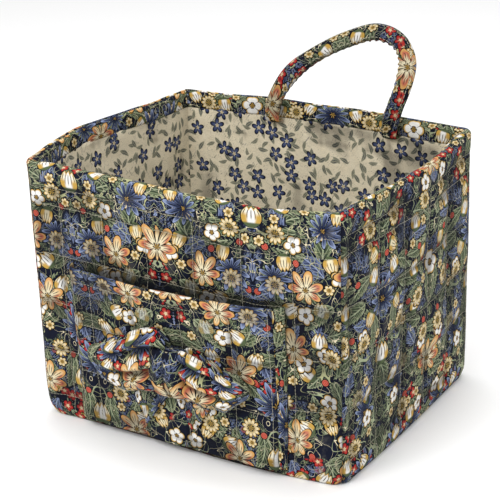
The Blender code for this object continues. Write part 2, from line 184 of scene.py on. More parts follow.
def sheet_solid(name, P, N, thick, uv, attrs=None, flip=False):
    """A closed sheet: P[nu, nv, 3] is its face, N its outward normal; the back lies `thick` behind."""
    nu, nv = P.shape[:2]
    th = np.broadcast_to(np.asarray(thick, float), (nu, nv))
    B = P - N * th[..., None]
    verts = np.concatenate([P.reshape(-1, 3), B.reshape(-1, 3)])
    n = nu * nv
    faces = grid_faces(nu, nv, 0, flip) + grid_faces(nu, nv, n, not flip)

    def edge(idx):
        out = []
        for i, j in zip(idx, idx[1:]):
            f = [i, j, j + n, i + n]
            out.append(f[::-1] if not flip else f)
        return out
    ids = np.arange(n).reshape(nu, nv)
    faces += edge(list(ids[:, 0])) + edge(list(ids[-1, :])) + edge(list(ids[::-1, -1])) + edge(list(ids[::-1][-1, ::-1]))
    uv2 = np.concatenate([uv.reshape(-1, 2)] * 2)
    at = {k: np.concatenate([np.asarray(v).ravel()] * 2) for k, v in (attrs or {}).items()}
    return new_object(name, verts, faces, uv2, True, at)


def fix_normals(ob):
    import bmesh
    bm = bmesh.new()
    bm.from_mesh(ob.data)
    bmesh.ops.recalc_face_normals(bm, faces=bm.faces)
    bm.to_mesh(ob.data)
    bm.free()
    ob.data.update()
    return ob


def normals_of(P):
    du = np.gradient(P, axis=0)
    dv = np.gradient(P, axis=1)
    n = np.cross(du, dv)
    return n / np.maximum(np.linalg.norm(n, axis=-1, keepdims=True), 1e-12)


STITCH = {}


def stitches(group, pts, nrm, length=0.0026, step=0.0029, wide=0.00021, sink=0.35):
    """Short thread lengths along a polyline on the cloth, gathered into one mesh per group."""
    pts, nrm = np.asarray(pts), np.asarray(nrm)
    seg = np.linalg.norm(np.diff(pts, axis=0), axis=1)
    cum = np.concatenate([[0], np.cumsum(seg)])
    k = int((cum[-1] - length) / step)
    if k < 1:
        return
    at = (cum[-1] - k * step) / 2 + np.arange(k + 1) * step
    at = at[(at - length / 2 > 0) & (at + length / 2 < cum[-1])]
    f = lambda x, arr: np.stack([np.interp(x, cum, arr[:, i]) for i in range(3)], 1)
    a, b = f(at - length / 2, pts), f(at + length / 2, pts)
    m, n = f(at, pts), f(at, nrm)
    n /= np.linalg.norm(n, axis=1, keepdims=True)
    d = b - a
    d /= np.linalg.norm(d, axis=1, keepdims=True)
    s = np.cross(d, n)
    s /= np.linalg.norm(s, axis=1, keepdims=True)
    rings = []
    for u, r, up in ((0.0, 0.25, -0.35), (0.16, 0.85, 0.25), (0.5, 1.0, 0.55), (0.84, 0.85, 0.25), (1.0, 0.25, -0.35)):
        c = a + (b - a) * u + n * wide * (up + sink)
        rings.append(np.stack([c + wide * r * (s * math.cos(q) + n * math.sin(q)) for q in (0.25 * math.pi, 0.75 * math.pi, 1.25 * math.pi, 1.75 * math.pi)], 1))
    V = np.stack(rings, 1).reshape(len(at), -1, 3)
    base = []
    for i in range(4):
        for j in range(4):
            base.append([i * 4 + j, i * 4 + (j + 1) % 4, (i + 1) * 4 + (j + 1) % 4, (i + 1) * 4 + j])
    base += [[3, 2, 1, 0], [16, 17, 18, 19]]
    STITCH.setdefault(group, []).append((V, base))


def build_stitches(body_of_group, mat):
    import bmesh
    for group, parts in STITCH.items():
        verts, faces, off = [], [], 0
        for V, base in parts:
            for one in V:
                verts.append(one)
                faces += [[i + off for i in f] for f in base]
                off += 20
        ob = new_object("thread_" + group, np.concatenate(verts), faces, None, True)
        fix_normals(ob)
        ob.data.materials.append(mat)
        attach(ob, body_of_group.get(group, "basket"))


# ------------------------------------------------------------------ node helpers
MIRROR = 0.0825


class Nodes:
    def __init__(self, tree):
        self.t = tree

    def put(self, sock, v):
        if isinstance(v, bpy.types.NodeSocket):
            self.t.links.new(v, sock)
        elif v is not None:
            if sock.type == "RGBA" and len(v) == 3:
                v = (*v, 1.0)
            sock.default_value = v

    def new(self, kind, **kw):
        n = self.t.nodes.new(kind)
        for k, v in kw.items():
            setattr(n, k, v)
        return n

    def m(self, op, a, b=None, c=None, clamp=False):
        n = self.new("ShaderNodeMath", operation=op, use_clamp=clamp)
        for i, v in enumerate((a, b, c)):
            if v is not None:
                self.put(n.inputs[i], v)
        return n.outputs[0]

    def add(self, a, b): return self.m("ADD", a, b)
    def sub(self, a, b): return self.m("SUBTRACT", a, b)
    def mul(self, a, b): return self.m("MULTIPLY", a, b)
    def mx(self, a, b): return self.m("MAXIMUM", a, b)
    def mn(self, a, b): return self.m("MINIMUM", a, b)

    def step(self, x, lo, hi, out0=0.0, out1=1.0):
        """Smooth step of x from lo to hi (lo may exceed hi)."""
        n = self.new("ShaderNodeMapRange", interpolation_type="SMOOTHSTEP")
        if isinstance(lo, (int, float)) and isinstance(hi, (int, float)) and lo > hi:
            lo, hi, out0, out1 = hi, lo, out1, out0
        for i, v in zip((0, 1, 2, 3, 4), (x, lo, hi, out0, out1)):
            self.put(n.inputs[i], v)
        return n.outputs[0]

    def mix(self, f, a, b):
        n = self.new("ShaderNodeMix", data_type="RGBA")
        self.put(n.inputs[0], f)
        self.put(n.inputs[6], a)
        self.put(n.inputs[7], b)
        return n.outputs[2]

    def xyz(self, v):
        n = self.new("ShaderNodeSeparateXYZ")
        self.put(n.inputs[0], v)
        return n.outputs

    def vec(self, x, y, z=0.0):
        n = self.new("ShaderNodeCombineXYZ")
        for i, v in enumerate((x, y, z)):
            self.put(n.inputs[i], v)
        return n.outputs[0]

    def noise(self, vec, scale, detail=2.0, rough=0.5, distort=0.0):
        n = self.new("ShaderNodeTexNoise", noise_dimensions="2D")
        for k, v in (("Vector", vec), ("Scale", scale), ("Detail", detail), ("Roughness", rough), ("Distortion", distort)):
            self.put(n.inputs[k], v)
        return n.outputs["Fac"]

    def cells(self, x, y, size, rand, sx, sy, angle=None):
        """Local polar and rotated coordinates inside scattered cells, two random numbers, and the middle's distance from the mirror lines."""
        v = self.vec(self.add(x, sx), self.add(y, sy))
        n = self.new("ShaderNodeTexVoronoi", voronoi_dimensions="2D", feature="F1")
        self.put(n.inputs["Vector"], v)
        n.inputs["Scale"].default_value = 1.0 / size
        n.inputs["Randomness"].default_value = rand
        p = self.xyz(n.outputs["Position"])
        q = self.xyz(v)
        lx, ly = self.sub(q[0], p[0]), self.sub(q[1], p[1])
        col = self.new("ShaderNodeSeparateColor")
        self.t.links.new(n.outputs["Color"], col.inputs[0])
        r = col.outputs
        ang = self.mul(r[0], 6.2832) if angle is None else self.add(self.mul(self.sub(r[0], 0.5), angle[1]), angle[0])
        c, s = self.m("COSINE", ang), self.m("SINE", ang)
        rx = self.sub(self.mul(lx, c), self.mul(ly, s))
        ry = self.add(self.mul(lx, s), self.mul(ly, c))
        rad = self.m("SQRT", self.add(self.mul(rx, rx), self.mul(ry, ry)))
        th = self.m("ARCTAN2", ry, rx)
        mid = self.sub(p[0], sx)
        return rx, ry, rad, th, r[1], r[2], self.mn(mid, self.sub(MIRROR, mid))

    def whole(self, c, reach, cut):
        """1 where a motif of this reach is drawn: chosen by chance and clear of the mirror lines."""
        return self.mul(self.step(c[5], cut, cut + 0.01), self.step(c[6], reach, reach + 0.0002))


def lin(r, g, b):
    f = lambda c: (c / 255 / 12.92) if c / 255 <= 0.04045 else ((c / 255 + 0.055) / 1.055) ** 2.4
    return (f(r), f(g), f(b))


NAVY, NAVY2, INK = lin(15, 18, 31), lin(23, 28, 45), lin(8, 9, 13)
OLIVE, OLIVE_D, OLIVE_L = lin(86, 97, 64), lin(42, 52, 40), lin(170, 176, 136)
BLUE, BLUE_L, BLUE_D = lin(88, 98, 126), lin(146, 156, 182), lin(40, 48, 72)
CREAM, GOLD, WHITE = lin(238, 222, 180), lin(202, 160, 74), lin(246, 240, 226)
ORANGE, CORAL, RED, BROWN = lin(222, 164, 94), lin(196, 104, 80), lin(184, 44, 40), lin(48, 34, 28)
PEACH, STEM = lin(238, 204, 148), lin(184, 182, 132)


def flower(N, c, R, n, petal_a, petal_b, tip, core, wide=0.45, power=0.6, lines=0.0, uneven=0.0, side=None, eye=0.30):
    """A blossom: mask and colour. R is its radius, n its number of petals; `uneven` makes the upper petals longer and `side` colours the ones beside."""
    rx, ry, rad, th = c[:4]
    pf = N.m("POWER", N.m("ABSOLUTE", N.m("COSINE", N.mul(th, n / 2.0))), power)
    edge = N.mul(N.add(1.0 - wide, N.mul(pf, wide)), R)
    if uneven:
        edge = N.mul(edge, N.add(1.0, N.mul(N.m("SINE", th), uneven)))
    gap = N.sub(edge, rad)
    mask = N.step(gap, -0.0009, -0.0006)
    k = N.m("DIVIDE", rad, edge)
    col = N.mix(N.step(k, 0.30, 0.80), petal_a, petal_b)
    if side is not None:
        col = N.mix(N.mul(N.step(N.m("ABSOLUTE", N.m("COSINE", th)), 0.62, 0.80), N.step(k, 0.35, 0.8)), col, side)
    col = N.mix(N.step(k, 0.74, 0.93), col, tip)
    if lines:
        st = N.m("SINE", N.mul(th, lines))
        col = N.mix(N.mul(N.step(st, 0.55, 0.85), N.step(N.m("ABSOLUTE", N.sub(k, 0.55)), 0.28, 0.12)), col, core)
    col = N.mix(N.mul(N.step(pf, 0.46, 0.22), N.step(k, eye, 0.52)), col, INK)
    col = N.mix(N.step(gap, 0.0004, 0.0001), col, INK)
    col = N.mix(N.step(k, eye + 0.04, eye - 0.02), col, core)
    col = N.mix(N.mul(N.step(k, eye * 0.85, eye * 0.7), N.step(N.m("SINE", N.mul(th, 7.0)), -0.1, 0.5)), col, GOLD)
    return mask, col


def tulip(N, c, L, Wd, inner, outer, edge_c, vein):
    """A cupped bud standing along the cell's y axis: lobed lip, dark stripes, a green calyx."""
    rx, ry, rad, th = c[:4]
    v = N.add(N.m("DIVIDE", ry, L), 0.5)
    vc = N.mn(N.mx(v, 0.0), 1.0)
    half = N.mul(N.m("POWER", N.mx(N.m("SINE", N.mul(N.m("POWER", vc, 0.70), 2.93)), 0.001), 0.85), Wd)
    u = N.m("DIVIDE", rx, half)
    lip = N.sub(1.0, N.mul(N.m("PINGPONG", N.add(N.m("DIVIDE", N.m("ABSOLUTE", rx), Wd * 0.46), 0.0), 0.5), 0.42))
    m_side = N.step(N.sub(half, N.m("ABSOLUTE", rx)), -0.0008, -0.0005)
    mask = N.mul(m_side, N.mul(N.step(v, 0.0, 0.02), N.step(N.sub(lip, v), -0.04, -0.02)))
    col = N.mix(N.step(N.m("ABSOLUTE", u), 0.25, 0.85), inner, outer)
    col = N.mix(N.step(N.sub(lip, v), 0.17, 0.05), col, edge_c)
    st = N.m("ABSOLUTE", N.sub(N.m("FRACT", N.mul(N.add(u, 3.0), 2.5)), 0.5))
    col = N.mix(N.mul(N.step(st, 0.16, 0.08), N.step(N.m("ABSOLUTE", N.sub(v, 0.55)), 0.26, 0.12)), col, vein)
    col = N.mix(N.mul(N.step(v, 0.62, 0.42), N.step(N.m("ABSOLUTE", u), 0.25, 0.6)), col, GOLD)
    col = N.mix(N.step(v, 0.24, 0.16), col, OLIVE)
    col = N.mix(N.step(N.sub(half, N.m("ABSOLUTE", rx)), 0.0003, 0.0), col, INK)
    col = N.mix(N.step(N.sub(lip, v), 0.02, 0.0), col, INK)
    return mask, col


def leaf(N, c, L, Wd, fill, dark, line, teeth=9.0, tooth=0.28):
    """A toothed leaf along the cell's x axis, with a pale rim, midrib and side veins."""
    rx, ry, rad, th = c[:4]
    u = N.add(N.m("DIVIDE", rx, L), 0.5)
    uc = N.mn(N.mx(u, 0.0), 1.0)
    curve = N.mul(N.m("SINE", N.mul(uc, 3.1416)), N.mul(N.sub(c[4], 0.5), Wd * 1.2))
    v = N.m("ABSOLUTE", N.sub(ry, curve))
    prof = N.m("POWER", N.mx(N.m("SINE", N.mul(N.m("POWER", uc, 0.8), 3.1416)), 0.0), 0.75)
    saw = N.m("PINGPONG", N.sub(N.mul(uc, teeth), N.mul(v, teeth * 0.45 / Wd)), 0.5)
    edge = N.mul(prof, N.mul(N.sub(1.0, N.mul(saw, tooth * 2.0)), Wd))
    gap = N.sub(edge, v)
    mask = N.mul(N.step(gap, 0.0, 0.0003), N.mul(N.step(u, 0.0, 0.02), N.step(u, 1.0, 0.98)))
    col = N.mix(N.step(v, 0.0, Wd * 0.8), dark, fill)
    col = N.mix(N.mul(N.step(saw, 0.20, 0.05), 0.55), col, line)
    col = N.mix(N.mul(N.step(gap, 0.0010, 0.0006), 0.9), col, line)
    col = N.mix(N.mul(N.step(v, 0.0007, 0.0003), 0.9), col, line)
    return mask, col


def ring_of(N, x, y, cx, cy, period, up=1.0):
    """Local coordinates round a motif centred on x = cx, repeating up the cloth."""
    ly = N.sub(N.m("WRAP", N.sub(y, cy), period / 2, -period / 2), 0.0)
    lx = N.sub(x, cx)
    ly = N.mul(ly, up)
    rad = N.m("SQRT", N.add(N.mul(lx, lx), N.mul(ly, ly)))
    return lx, ly, rad, N.m("ARCTAN2", ly, lx), None, None, None


def print_group():
    """The floral print: colour from cloth coordinates in metres. Mirrored across, with scattered leaves, scrolls, buds and blossoms."""
    g = bpy.data.node_groups.new("floral_print", "ShaderNodeTree")
    g.interface.new_socket("Cloth", in_out="INPUT", socket_type="NodeSocketVector")
    g.interface.new_socket("Color", in_out="OUTPUT", socket_type="NodeSocketColor")
    N = Nodes(g)
    gi, go = N.new("NodeGroupInput"), N.new("NodeGroupOutput")
    p = N.xyz(gi.outputs[0])
    x0, y = p[0], p[1]
    x = N.m("PINGPONG", x0, MIRROR)
    flat = N.vec(x, y)
    col = N.mix(N.noise(flat, 160.0, 3.0), NAVY, NAVY2)
    # branching coral-like filling in blue-grey and small foliage in green, in patches, with bare ground between
    where = N.noise(flat, 27.0, 1.0)
    lace = N.noise(flat, 150.0, 0.8, 0.5, 2.6)
    lace2 = N.noise(N.vec(N.add(x, 3.1), N.add(y, 1.7)), 165.0, 0.8, 0.5, 2.4)
    band1 = N.m("ABSOLUTE", N.sub(lace, 0.53))
    band2 = N.m("ABSOLUTE", N.sub(lace2, 0.52))
    inb = N.step(where, 0.52, 0.54)
    ing = N.mul(N.step(where, 0.50, 0.48), N.step(where, 0.40, 0.42))
    col = N.mix(N.mul(N.step(band1, 0.072, 0.060), inb), col, BLUE)
    col = N.mix(N.mul(N.mul(N.step(band1, 0.062, 0.056), N.step(band1, 0.040, 0.046)), inb), col, BLUE_L)
    col = N.mix(N.mul(N.step(band2, 0.066, 0.054), ing), col, OLIVE)
    col = N.mix(N.mul(N.step(band2, 0.020, 0.010), ing), col, OLIVE_L)
    # leaves, three scatters, each with a dark surround
    for size, L, Wd, sx, sy, f, d, l, cut, teeth, tooth in (
            (0.0300, 0.0320, 0.0080, 1.31, 0.77, OLIVE, OLIVE_D, OLIVE_L, 0.36, 6.0, 0.32),
            (0.0270, 0.0270, 0.0072, 4.17, 2.39, BLUE, BLUE_D, BLUE_L, 0.52, 7.0, 0.38),
            (0.0330, 0.0340, 0.0074, 7.53, 5.11, OLIVE, OLIVE_D, OLIVE_L, 0.42, 8.0, 0.28)):
        c = N.cells(x, y, size, 0.85, sx, sy)
        mk, lc = leaf(N, c, L * 1.14, Wd * 1.36, NAVY, NAVY, NAVY, teeth, tooth * 0.8)
        on = N.step(c[5], cut, cut + 0.01)
        col = N.mix(N.mul(mk, on), col, NAVY)
        mk, lc = leaf(N, c, L, Wd, f, d, l, teeth, tooth)
        col = N.mix(N.mul(mk, on), col, lc)
    # scrolling stems from the contours of a smooth field
    for k, (sx, sc) in enumerate(((0.0, 34.0), (2.7, 46.0), (5.3, 62.0))):
        f = N.noise(N.vec(N.add(x, sx), y), sc, 0.0, 0.5, 1.2)
        band = N.m("ABSOLUTE", N.sub(f, 0.5))
        col = N.mix(N.step(band, 0.0140, 0.0095), col, NAVY)
        col = N.mix(N.step(band, 0.0085, 0.0050), col, (OLIVE_L, STEM, CREAM)[k])
    # small berries, buds and sprays
    c = N.cells(x, y, 0.0165, 0.9, 2.2, 9.4)
    berry = N.mul(N.step(c[2], 0.0028, 0.0024), N.whole(c, 0.003, 0.84))
    col = N.mix(N.mul(N.step(c[2], 0.0034, 0.0031), N.whole(c, 0.003, 0.84)), col, INK)
    col = N.mix(berry, col, N.mix(N.step(N.m("SINE", N.mul(c[2], 5200.0)), -0.2, 0.6), CORAL, RED))
    c = N.cells(x, y, 0.0190, 0.8, 8.1, 3.3)
    mk, fc = flower(N, c, 0.0044, 6, GOLD, CREAM, GOLD, BROWN, 0.5)
    col = N.mix(N.mul(mk, N.whole(c, 0.0044, 0.60)), col, fc)
    # small coral blossoms in clusters
    c = N.cells(x, y, 0.0125, 0.85, 4.6, 1.2)
    mk, fc = flower(N, c, 0.0050, 5, CORAL, RED, RED, CREAM, 0.5, 0.7)
    near = N.step(N.noise(N.vec(N.add(x, 6.6), N.add(y, 2.4)), 15.0, 0.0), 0.60, 0.62)
    col = N.mix(N.mul(N.mul(mk, near), N.whole(c, 0.004, 0.35)), col, fc)
    # long-petalled blue-grey blossoms
    c = N.cells(x, y, 0.0480, 0.55, 5.9, 6.6)
    mk, fc = flower(N, c, 0.0145, 11, BLUE_D, BLUE, BLUE_L, INK, 0.84, 0.9, 22.0, 0.30, None, 0.18)
    col = N.mix(N.mul(mk, N.whole(c, 0.0150, 0.40)), col, fc)
    # cream buds
    c = N.cells(x, y, 0.0330, 0.70, 1.4, 7.7, (0.0, 2.2))
    mk, fc = tulip(N, c, 0.0165, 0.0066, WHITE, CREAM, GOLD, BROWN)
    col = N.mix(N.mul(mk, N.whole(c, 0.0095, 0.36)), col, fc)
    c = N.cells(x, y, 0.0400, 0.75, 6.4, 2.7, (3.1, 2.4))
    mk, fc = tulip(N, c, 0.0150, 0.0058, CREAM, PEACH, GOLD, BROWN)
    col = N.mix(N.mul(mk, N.whole(c, 0.0085, 0.46)), col, fc)
    # white blossoms with golden edges
    c = N.cells(x, y, 0.0340, 0.62, 3.7, 1.9)
    mk, fc = flower(N, c, 0.0076, 5, WHITE, WHITE, GOLD, BROWN, 0.42, 0.50)
    col = N.mix(N.mul(mk, N.whole(c, 0.0076, 0.44)), col, fc)
    c = N.cells(x, y, 0.0420, 0.7, 9.2, 4.8)
    mk, fc = flower(N, c, 0.0082, 11, GOLD, CREAM, GOLD, OLIVE_D, 0.50, 0.6, 0.0, 0.0, None, 0.42)
    col = N.mix(N.mul(mk, N.whole(c, 0.0082, 0.56)), col, fc)
    # large peach blossoms with coral side petals, scattered and on the mirror lines
    c = N.cells(x, y, 0.0560, 0.45, 6.3, 8.8, (0.0, 1.0))
    mk, fc = flower(N, c, 0.0145, 7, CREAM, PEACH, ORANGE, BROWN, 0.66, 0.80, 28.0, 0.22, CORAL, 0.20)
    col = N.mix(N.mul(mk, N.whole(c, 0.0145, 0.55)), col, fc)
    c = ring_of(N, x, y, 0.0, 0.021, 0.170)
    mk, fc = flower(N, c, 0.0175, 7, CREAM, PEACH, ORANGE, BROWN, 0.64, 0.80, 28.0, 0.24, CORAL, 0.20)
    col = N.mix(mk, col, fc)
    c = ring_of(N, x, y, 0.0825, 0.104, 0.170)
    mk, fc = flower(N, c, 0.0175, 13, BLUE_D, BLUE, BLUE_L, INK, 0.82, 0.9, 26.0, 0.30, None, 0.20)
    col = N.mix(mk, col, fc)
    c = ring_of(N, x, y, 0.0825, 0.060, 0.170)
    mk, fc = tulip(N, c, 0.0205, 0.0084, WHITE, CREAM, GOLD, BROWN)
    col = N.mix(mk, col, fc)
    c = ring_of(N, x, y, 0.0, 0.105, 0.170)
    mk, fc = flower(N, c, 0.0105, 5, WHITE, WHITE, GOLD, BROWN, 0.42, 0.50)
    col = N.mix(mk, col, fc)
    g.links.new(col, go.inputs[0])
    return g


def lining_group():
    g = bpy.data.node_groups.new("lining_print", "ShaderNodeTree")
    g.interface.new_socket("Cloth", in_out="INPUT", socket_type="NodeSocketVector")
    g.interface.new_socket("Color", in_out="OUTPUT", socket_type="NodeSocketColor")
    N = Nodes(g)
    gi, go = N.new("NodeGroupInput"), N.new("NodeGroupOutput")
    p = N.xyz(gi.outputs[0])
    x, y = p[0], p[1]
    col = N.mix(N.noise(N.vec(x, y), 90.0, 3.0), lin(232, 218, 186), lin(218, 202, 168))
    for sx, sc, wd, c_ in ((0.0, 60.0, 0.012, lin(132, 128, 108)), (4.4, 85.0, 0.014, lin(108, 108, 104))):
        f = N.noise(N.vec(N.add(x, sx), y), sc, 0.0, 0.5, 0.9)
        dots = N.step(N.m("SINE", N.mul(N.add(x, N.mul(y, 0.7)), 2600.0)), -0.2, 0.3)
        col = N.mix(N.mul(N.mul(N.step(N.m("ABSOLUTE", N.sub(f, 0.5)), wd, wd * 0.5), dots), 0.75), col, c_)
    for size, L, Wd, sx, sy, colr, cut in ((0.0115, 0.0095, 0.0022, 1.1, 2.2, lin(100, 102, 84), 0.22), (0.0125, 0.0105, 0.0025, 4.1, 6.2, lin(58, 64, 82), 0.24)):
        c = N.cells(x, y, size, 0.8, sx, sy)
        mk, lc = leaf(N, c, L, Wd, colr, lin(52, 54, 60), lin(150, 146, 120), 5.0, 0.3)
        col = N.mix(N.mul(mk, N.step(c[5], cut, cut + 0.01)), col, lc)
    c = N.cells(x, y, 0.0185, 0.6, 3.7, 5.3)
    mk, fc = flower(N, c, 0.0066, 5, lin(84, 94, 124), lin(60, 68, 96), lin(40, 46, 70), lin(206, 196, 168), 0.74, 0.9)
    col = N.mix(N.mul(mk, N.step(c[5], 0.25, 0.26)), col, fc)
    g.links.new(col, go.inputs[0])
    return g


PRINT_GROUP, LINING_GROUP = print_group(), lining_group()


TINT = (0.965, 1.005, 1.10)


def cloth_material(name, group, turn=0.0, shift=(0.0, 0.0), weave=0.00085, value=None):
    """Printed woven cotton: the print, thread-to-thread variation, worn ridges, painted shade in the hollows, weave and
    slub bump.
    """
    if value is None:
        value = 0.83 if group is PRINT_GROUP else 0.92
    mat = bpy.data.materials.new(name)
    mat.use_nodes = True
    t = mat.node_tree
    N = Nodes(t)
    bsdf = t.nodes["Principled BSDF"]
    uvn = N.new("ShaderNodeUVMap", uv_map="ClothUV")
    p = N.xyz(uvn.outputs[0])
    c, s = math.cos(turn), math.sin(turn)
    x = N.add(N.sub(N.mul(p[0], c), N.mul(p[1], s)), shift[0])
    y = N.add(N.add(N.mul(p[0], s), N.mul(p[1], c)), shift[1])
    flat = N.vec(x, y)
    gn = N.new("ShaderNodeGroup", node_tree=group)
    t.links.new(flat, gn.inputs[0])
    col = gn.outputs[0]
    # threads: two crossed sets
    wx = N.m("SINE", N.mul(x, 2 * math.pi / weave))
    wy = N.m("SINE", N.mul(y, 2 * math.pi / weave))
    over = N.mul(wx, wy)
    slub = N.noise(N.vec(N.mul(x, 1.0), N.mul(y, 9.0)), 260.0, 2.0)
    grey = N.mix(N.step(N.add(N.mul(over, 0.5), slub), 0.1, 0.9), tuple(0.80 * value * k for k in TINT), tuple(1.12 * value * k for k in TINT))
    mul = N.new("ShaderNodeMix", data_type="RGBA", blend_type="MULTIPLY")
    mul.inputs[0].default_value = 1.0
    t.links.new(col, mul.inputs[6])
    t.links.new(grey, mul.inputs[7])
    col = mul.outputs[2]
    # painted shade: where the relief attribute is low (hollows along the stitching, folds, pleats, the wall inside the
    # pocket mouth) the colour is darkened towards near-black; ridges are rubbed paler (wear)
    at = N.new("ShaderNodeAttribute", attribute_name="relief_shade", attribute_type="GEOMETRY")
    worn = N.noise(flat, 55.0, 4.0, 0.6)
    col = N.mix(N.mul(N.step(at.outputs["Fac"], 0.45, 0.0), 0.55), col, lin(14, 15, 22))
    # painted shade: where the relief attribute is below zero (behind the pocket mouth) the colour is darkened further
    col = N.mix(N.mul(N.step(at.outputs["Fac"], -0.1, -1.0), 0.72), col, lin(10, 11, 16))
    col = N.mix(N.mul(N.mul(N.step(at.outputs["Fac"], 0.70, 1.0), N.step(worn, 0.50, 0.70)), 0.07), col, lin(190, 184, 168))
    t.links.new(col, bsdf.inputs["Base Color"])
    rough = N.step(N.add(slub, N.mul(worn, 0.5)), 0.4, 1.1, 0.74, 0.92)
    t.links.new(rough, bsdf.inputs["Roughness"])
    bsdf.inputs["Sheen Weight"].default_value = 0.01
    bsdf.inputs["Sheen Roughness"].default_value = 0.5
    bsdf.inputs["Specular IOR Level"].default_value = 0.08
    b = N.new("ShaderNodeBump")
    b.inputs["Strength"].default_value = 0.55
    b.inputs["Distance"].default_value = 0.00022
    t.links.new(N.add(N.mul(over, 0.5), N.mul(slub, 0.8)), b.inputs["Height"])
    b2 = N.new("ShaderNodeBump")
    b2.inputs["Strength"].default_value = 0.6
    b2.inputs["Distance"].default_value = 0.0011
    t.links.new(N.noise(flat, 120.0, 3.0, 0.55, 0.6), b2.inputs["Height"])
    t.links.new(b.outputs[0], b2.inputs["Normal"])
    t.links.new(b2.outputs[0], bsdf.inputs["Normal"])
    return mat


def thread_material(name, colour):
    mat = bpy.data.materials.new(name)
    mat.use_nodes = True
    t = mat.node_tree
    N = Nodes(t)
    bsdf = t.nodes["Principled BSDF"]
    tc = N.new("ShaderNodeTexCoord")
    n = N.new("ShaderNodeTexNoise")
    n.inputs["Scale"].default_value = 700.0
    n.inputs["Detail"].default_value = 3.0
    t.links.new(tc.outputs["Object"], n.inputs["Vector"])
    col = N.mix(n.outputs["Fac"], tuple(c * 0.6 for c in colour), tuple(min(1, c * 1.25) for c in colour))
    t.links.new(col, bsdf.inputs["Base Color"])
    t.links.new(N.step(n.outputs["Fac"], 0.3, 0.7, 0.45, 0.7), bsdf.inputs["Roughness"])
    bsdf.inputs["Sheen Weight"].default_value = 0.2
    b = N.new("ShaderNodeBump")
    b.inputs["Strength"].default_value = 0.5
    b.inputs["Distance"].default_value = 0.0001
    t.links.new(n.outputs["Fac"], b.inputs["Height"])
    t.links.new(b.outputs[0], bsdf.inputs["Normal"])
    return mat


def give(ob, mat, body, replaces=()):
    ob.data.materials.append(mat)
    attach(ob, body)
    if replaces:
        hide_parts(*replaces)
    return ob


THREAD = thread_material("thread_tan", lin(160, 156, 134))

# ------------------------------------------------------------------ the four walls
DENS = 0.0026


def wall_t(L, dens):
    """Positions along a wall, closer together on the rounded corners."""
    n = int(L / dens)
    t = np.linspace(0, 1, n)
    ends = np.array([0.0, 0.0012, 0.0026, 0.0042, 0.006, 0.0085, 0.0115]) / L
    t = t[(t > 0.0135 / L) & (t < 1 - 0.0135 / L)]
    return np.concatenate([ends, t, 1 - ends[::-1]])


def snap(values, lines, lo, hi):
    """Move the nearest of these values onto each line between lo and hi."""
    out = np.array(values, float)
    for ln in lines:
        if lo < ln < hi:
            out[int(np.argmin(np.abs(out - ln)))] = ln
    return out


def quilt_columns(side, L):
    return [(SIDES[side]["first"] + k * QUILT) / L for k in range(12)]


QUILT_ROWS = [0.0195] + [0.0345 + k * QUILT * 0.995 for k in range(5)]


def wall_rows(dens):
    """(kind, value): heights up the wall, then the roll."""
    z = list(np.array([0.0009, 0.0022, 0.0038, 0.0056, 0.0078, 0.0104, 0.0135]))
    n = int((H - ROLL_H - 0.016) / dens)
    f = np.linspace(0, 1, n)[1:]
    return z, f


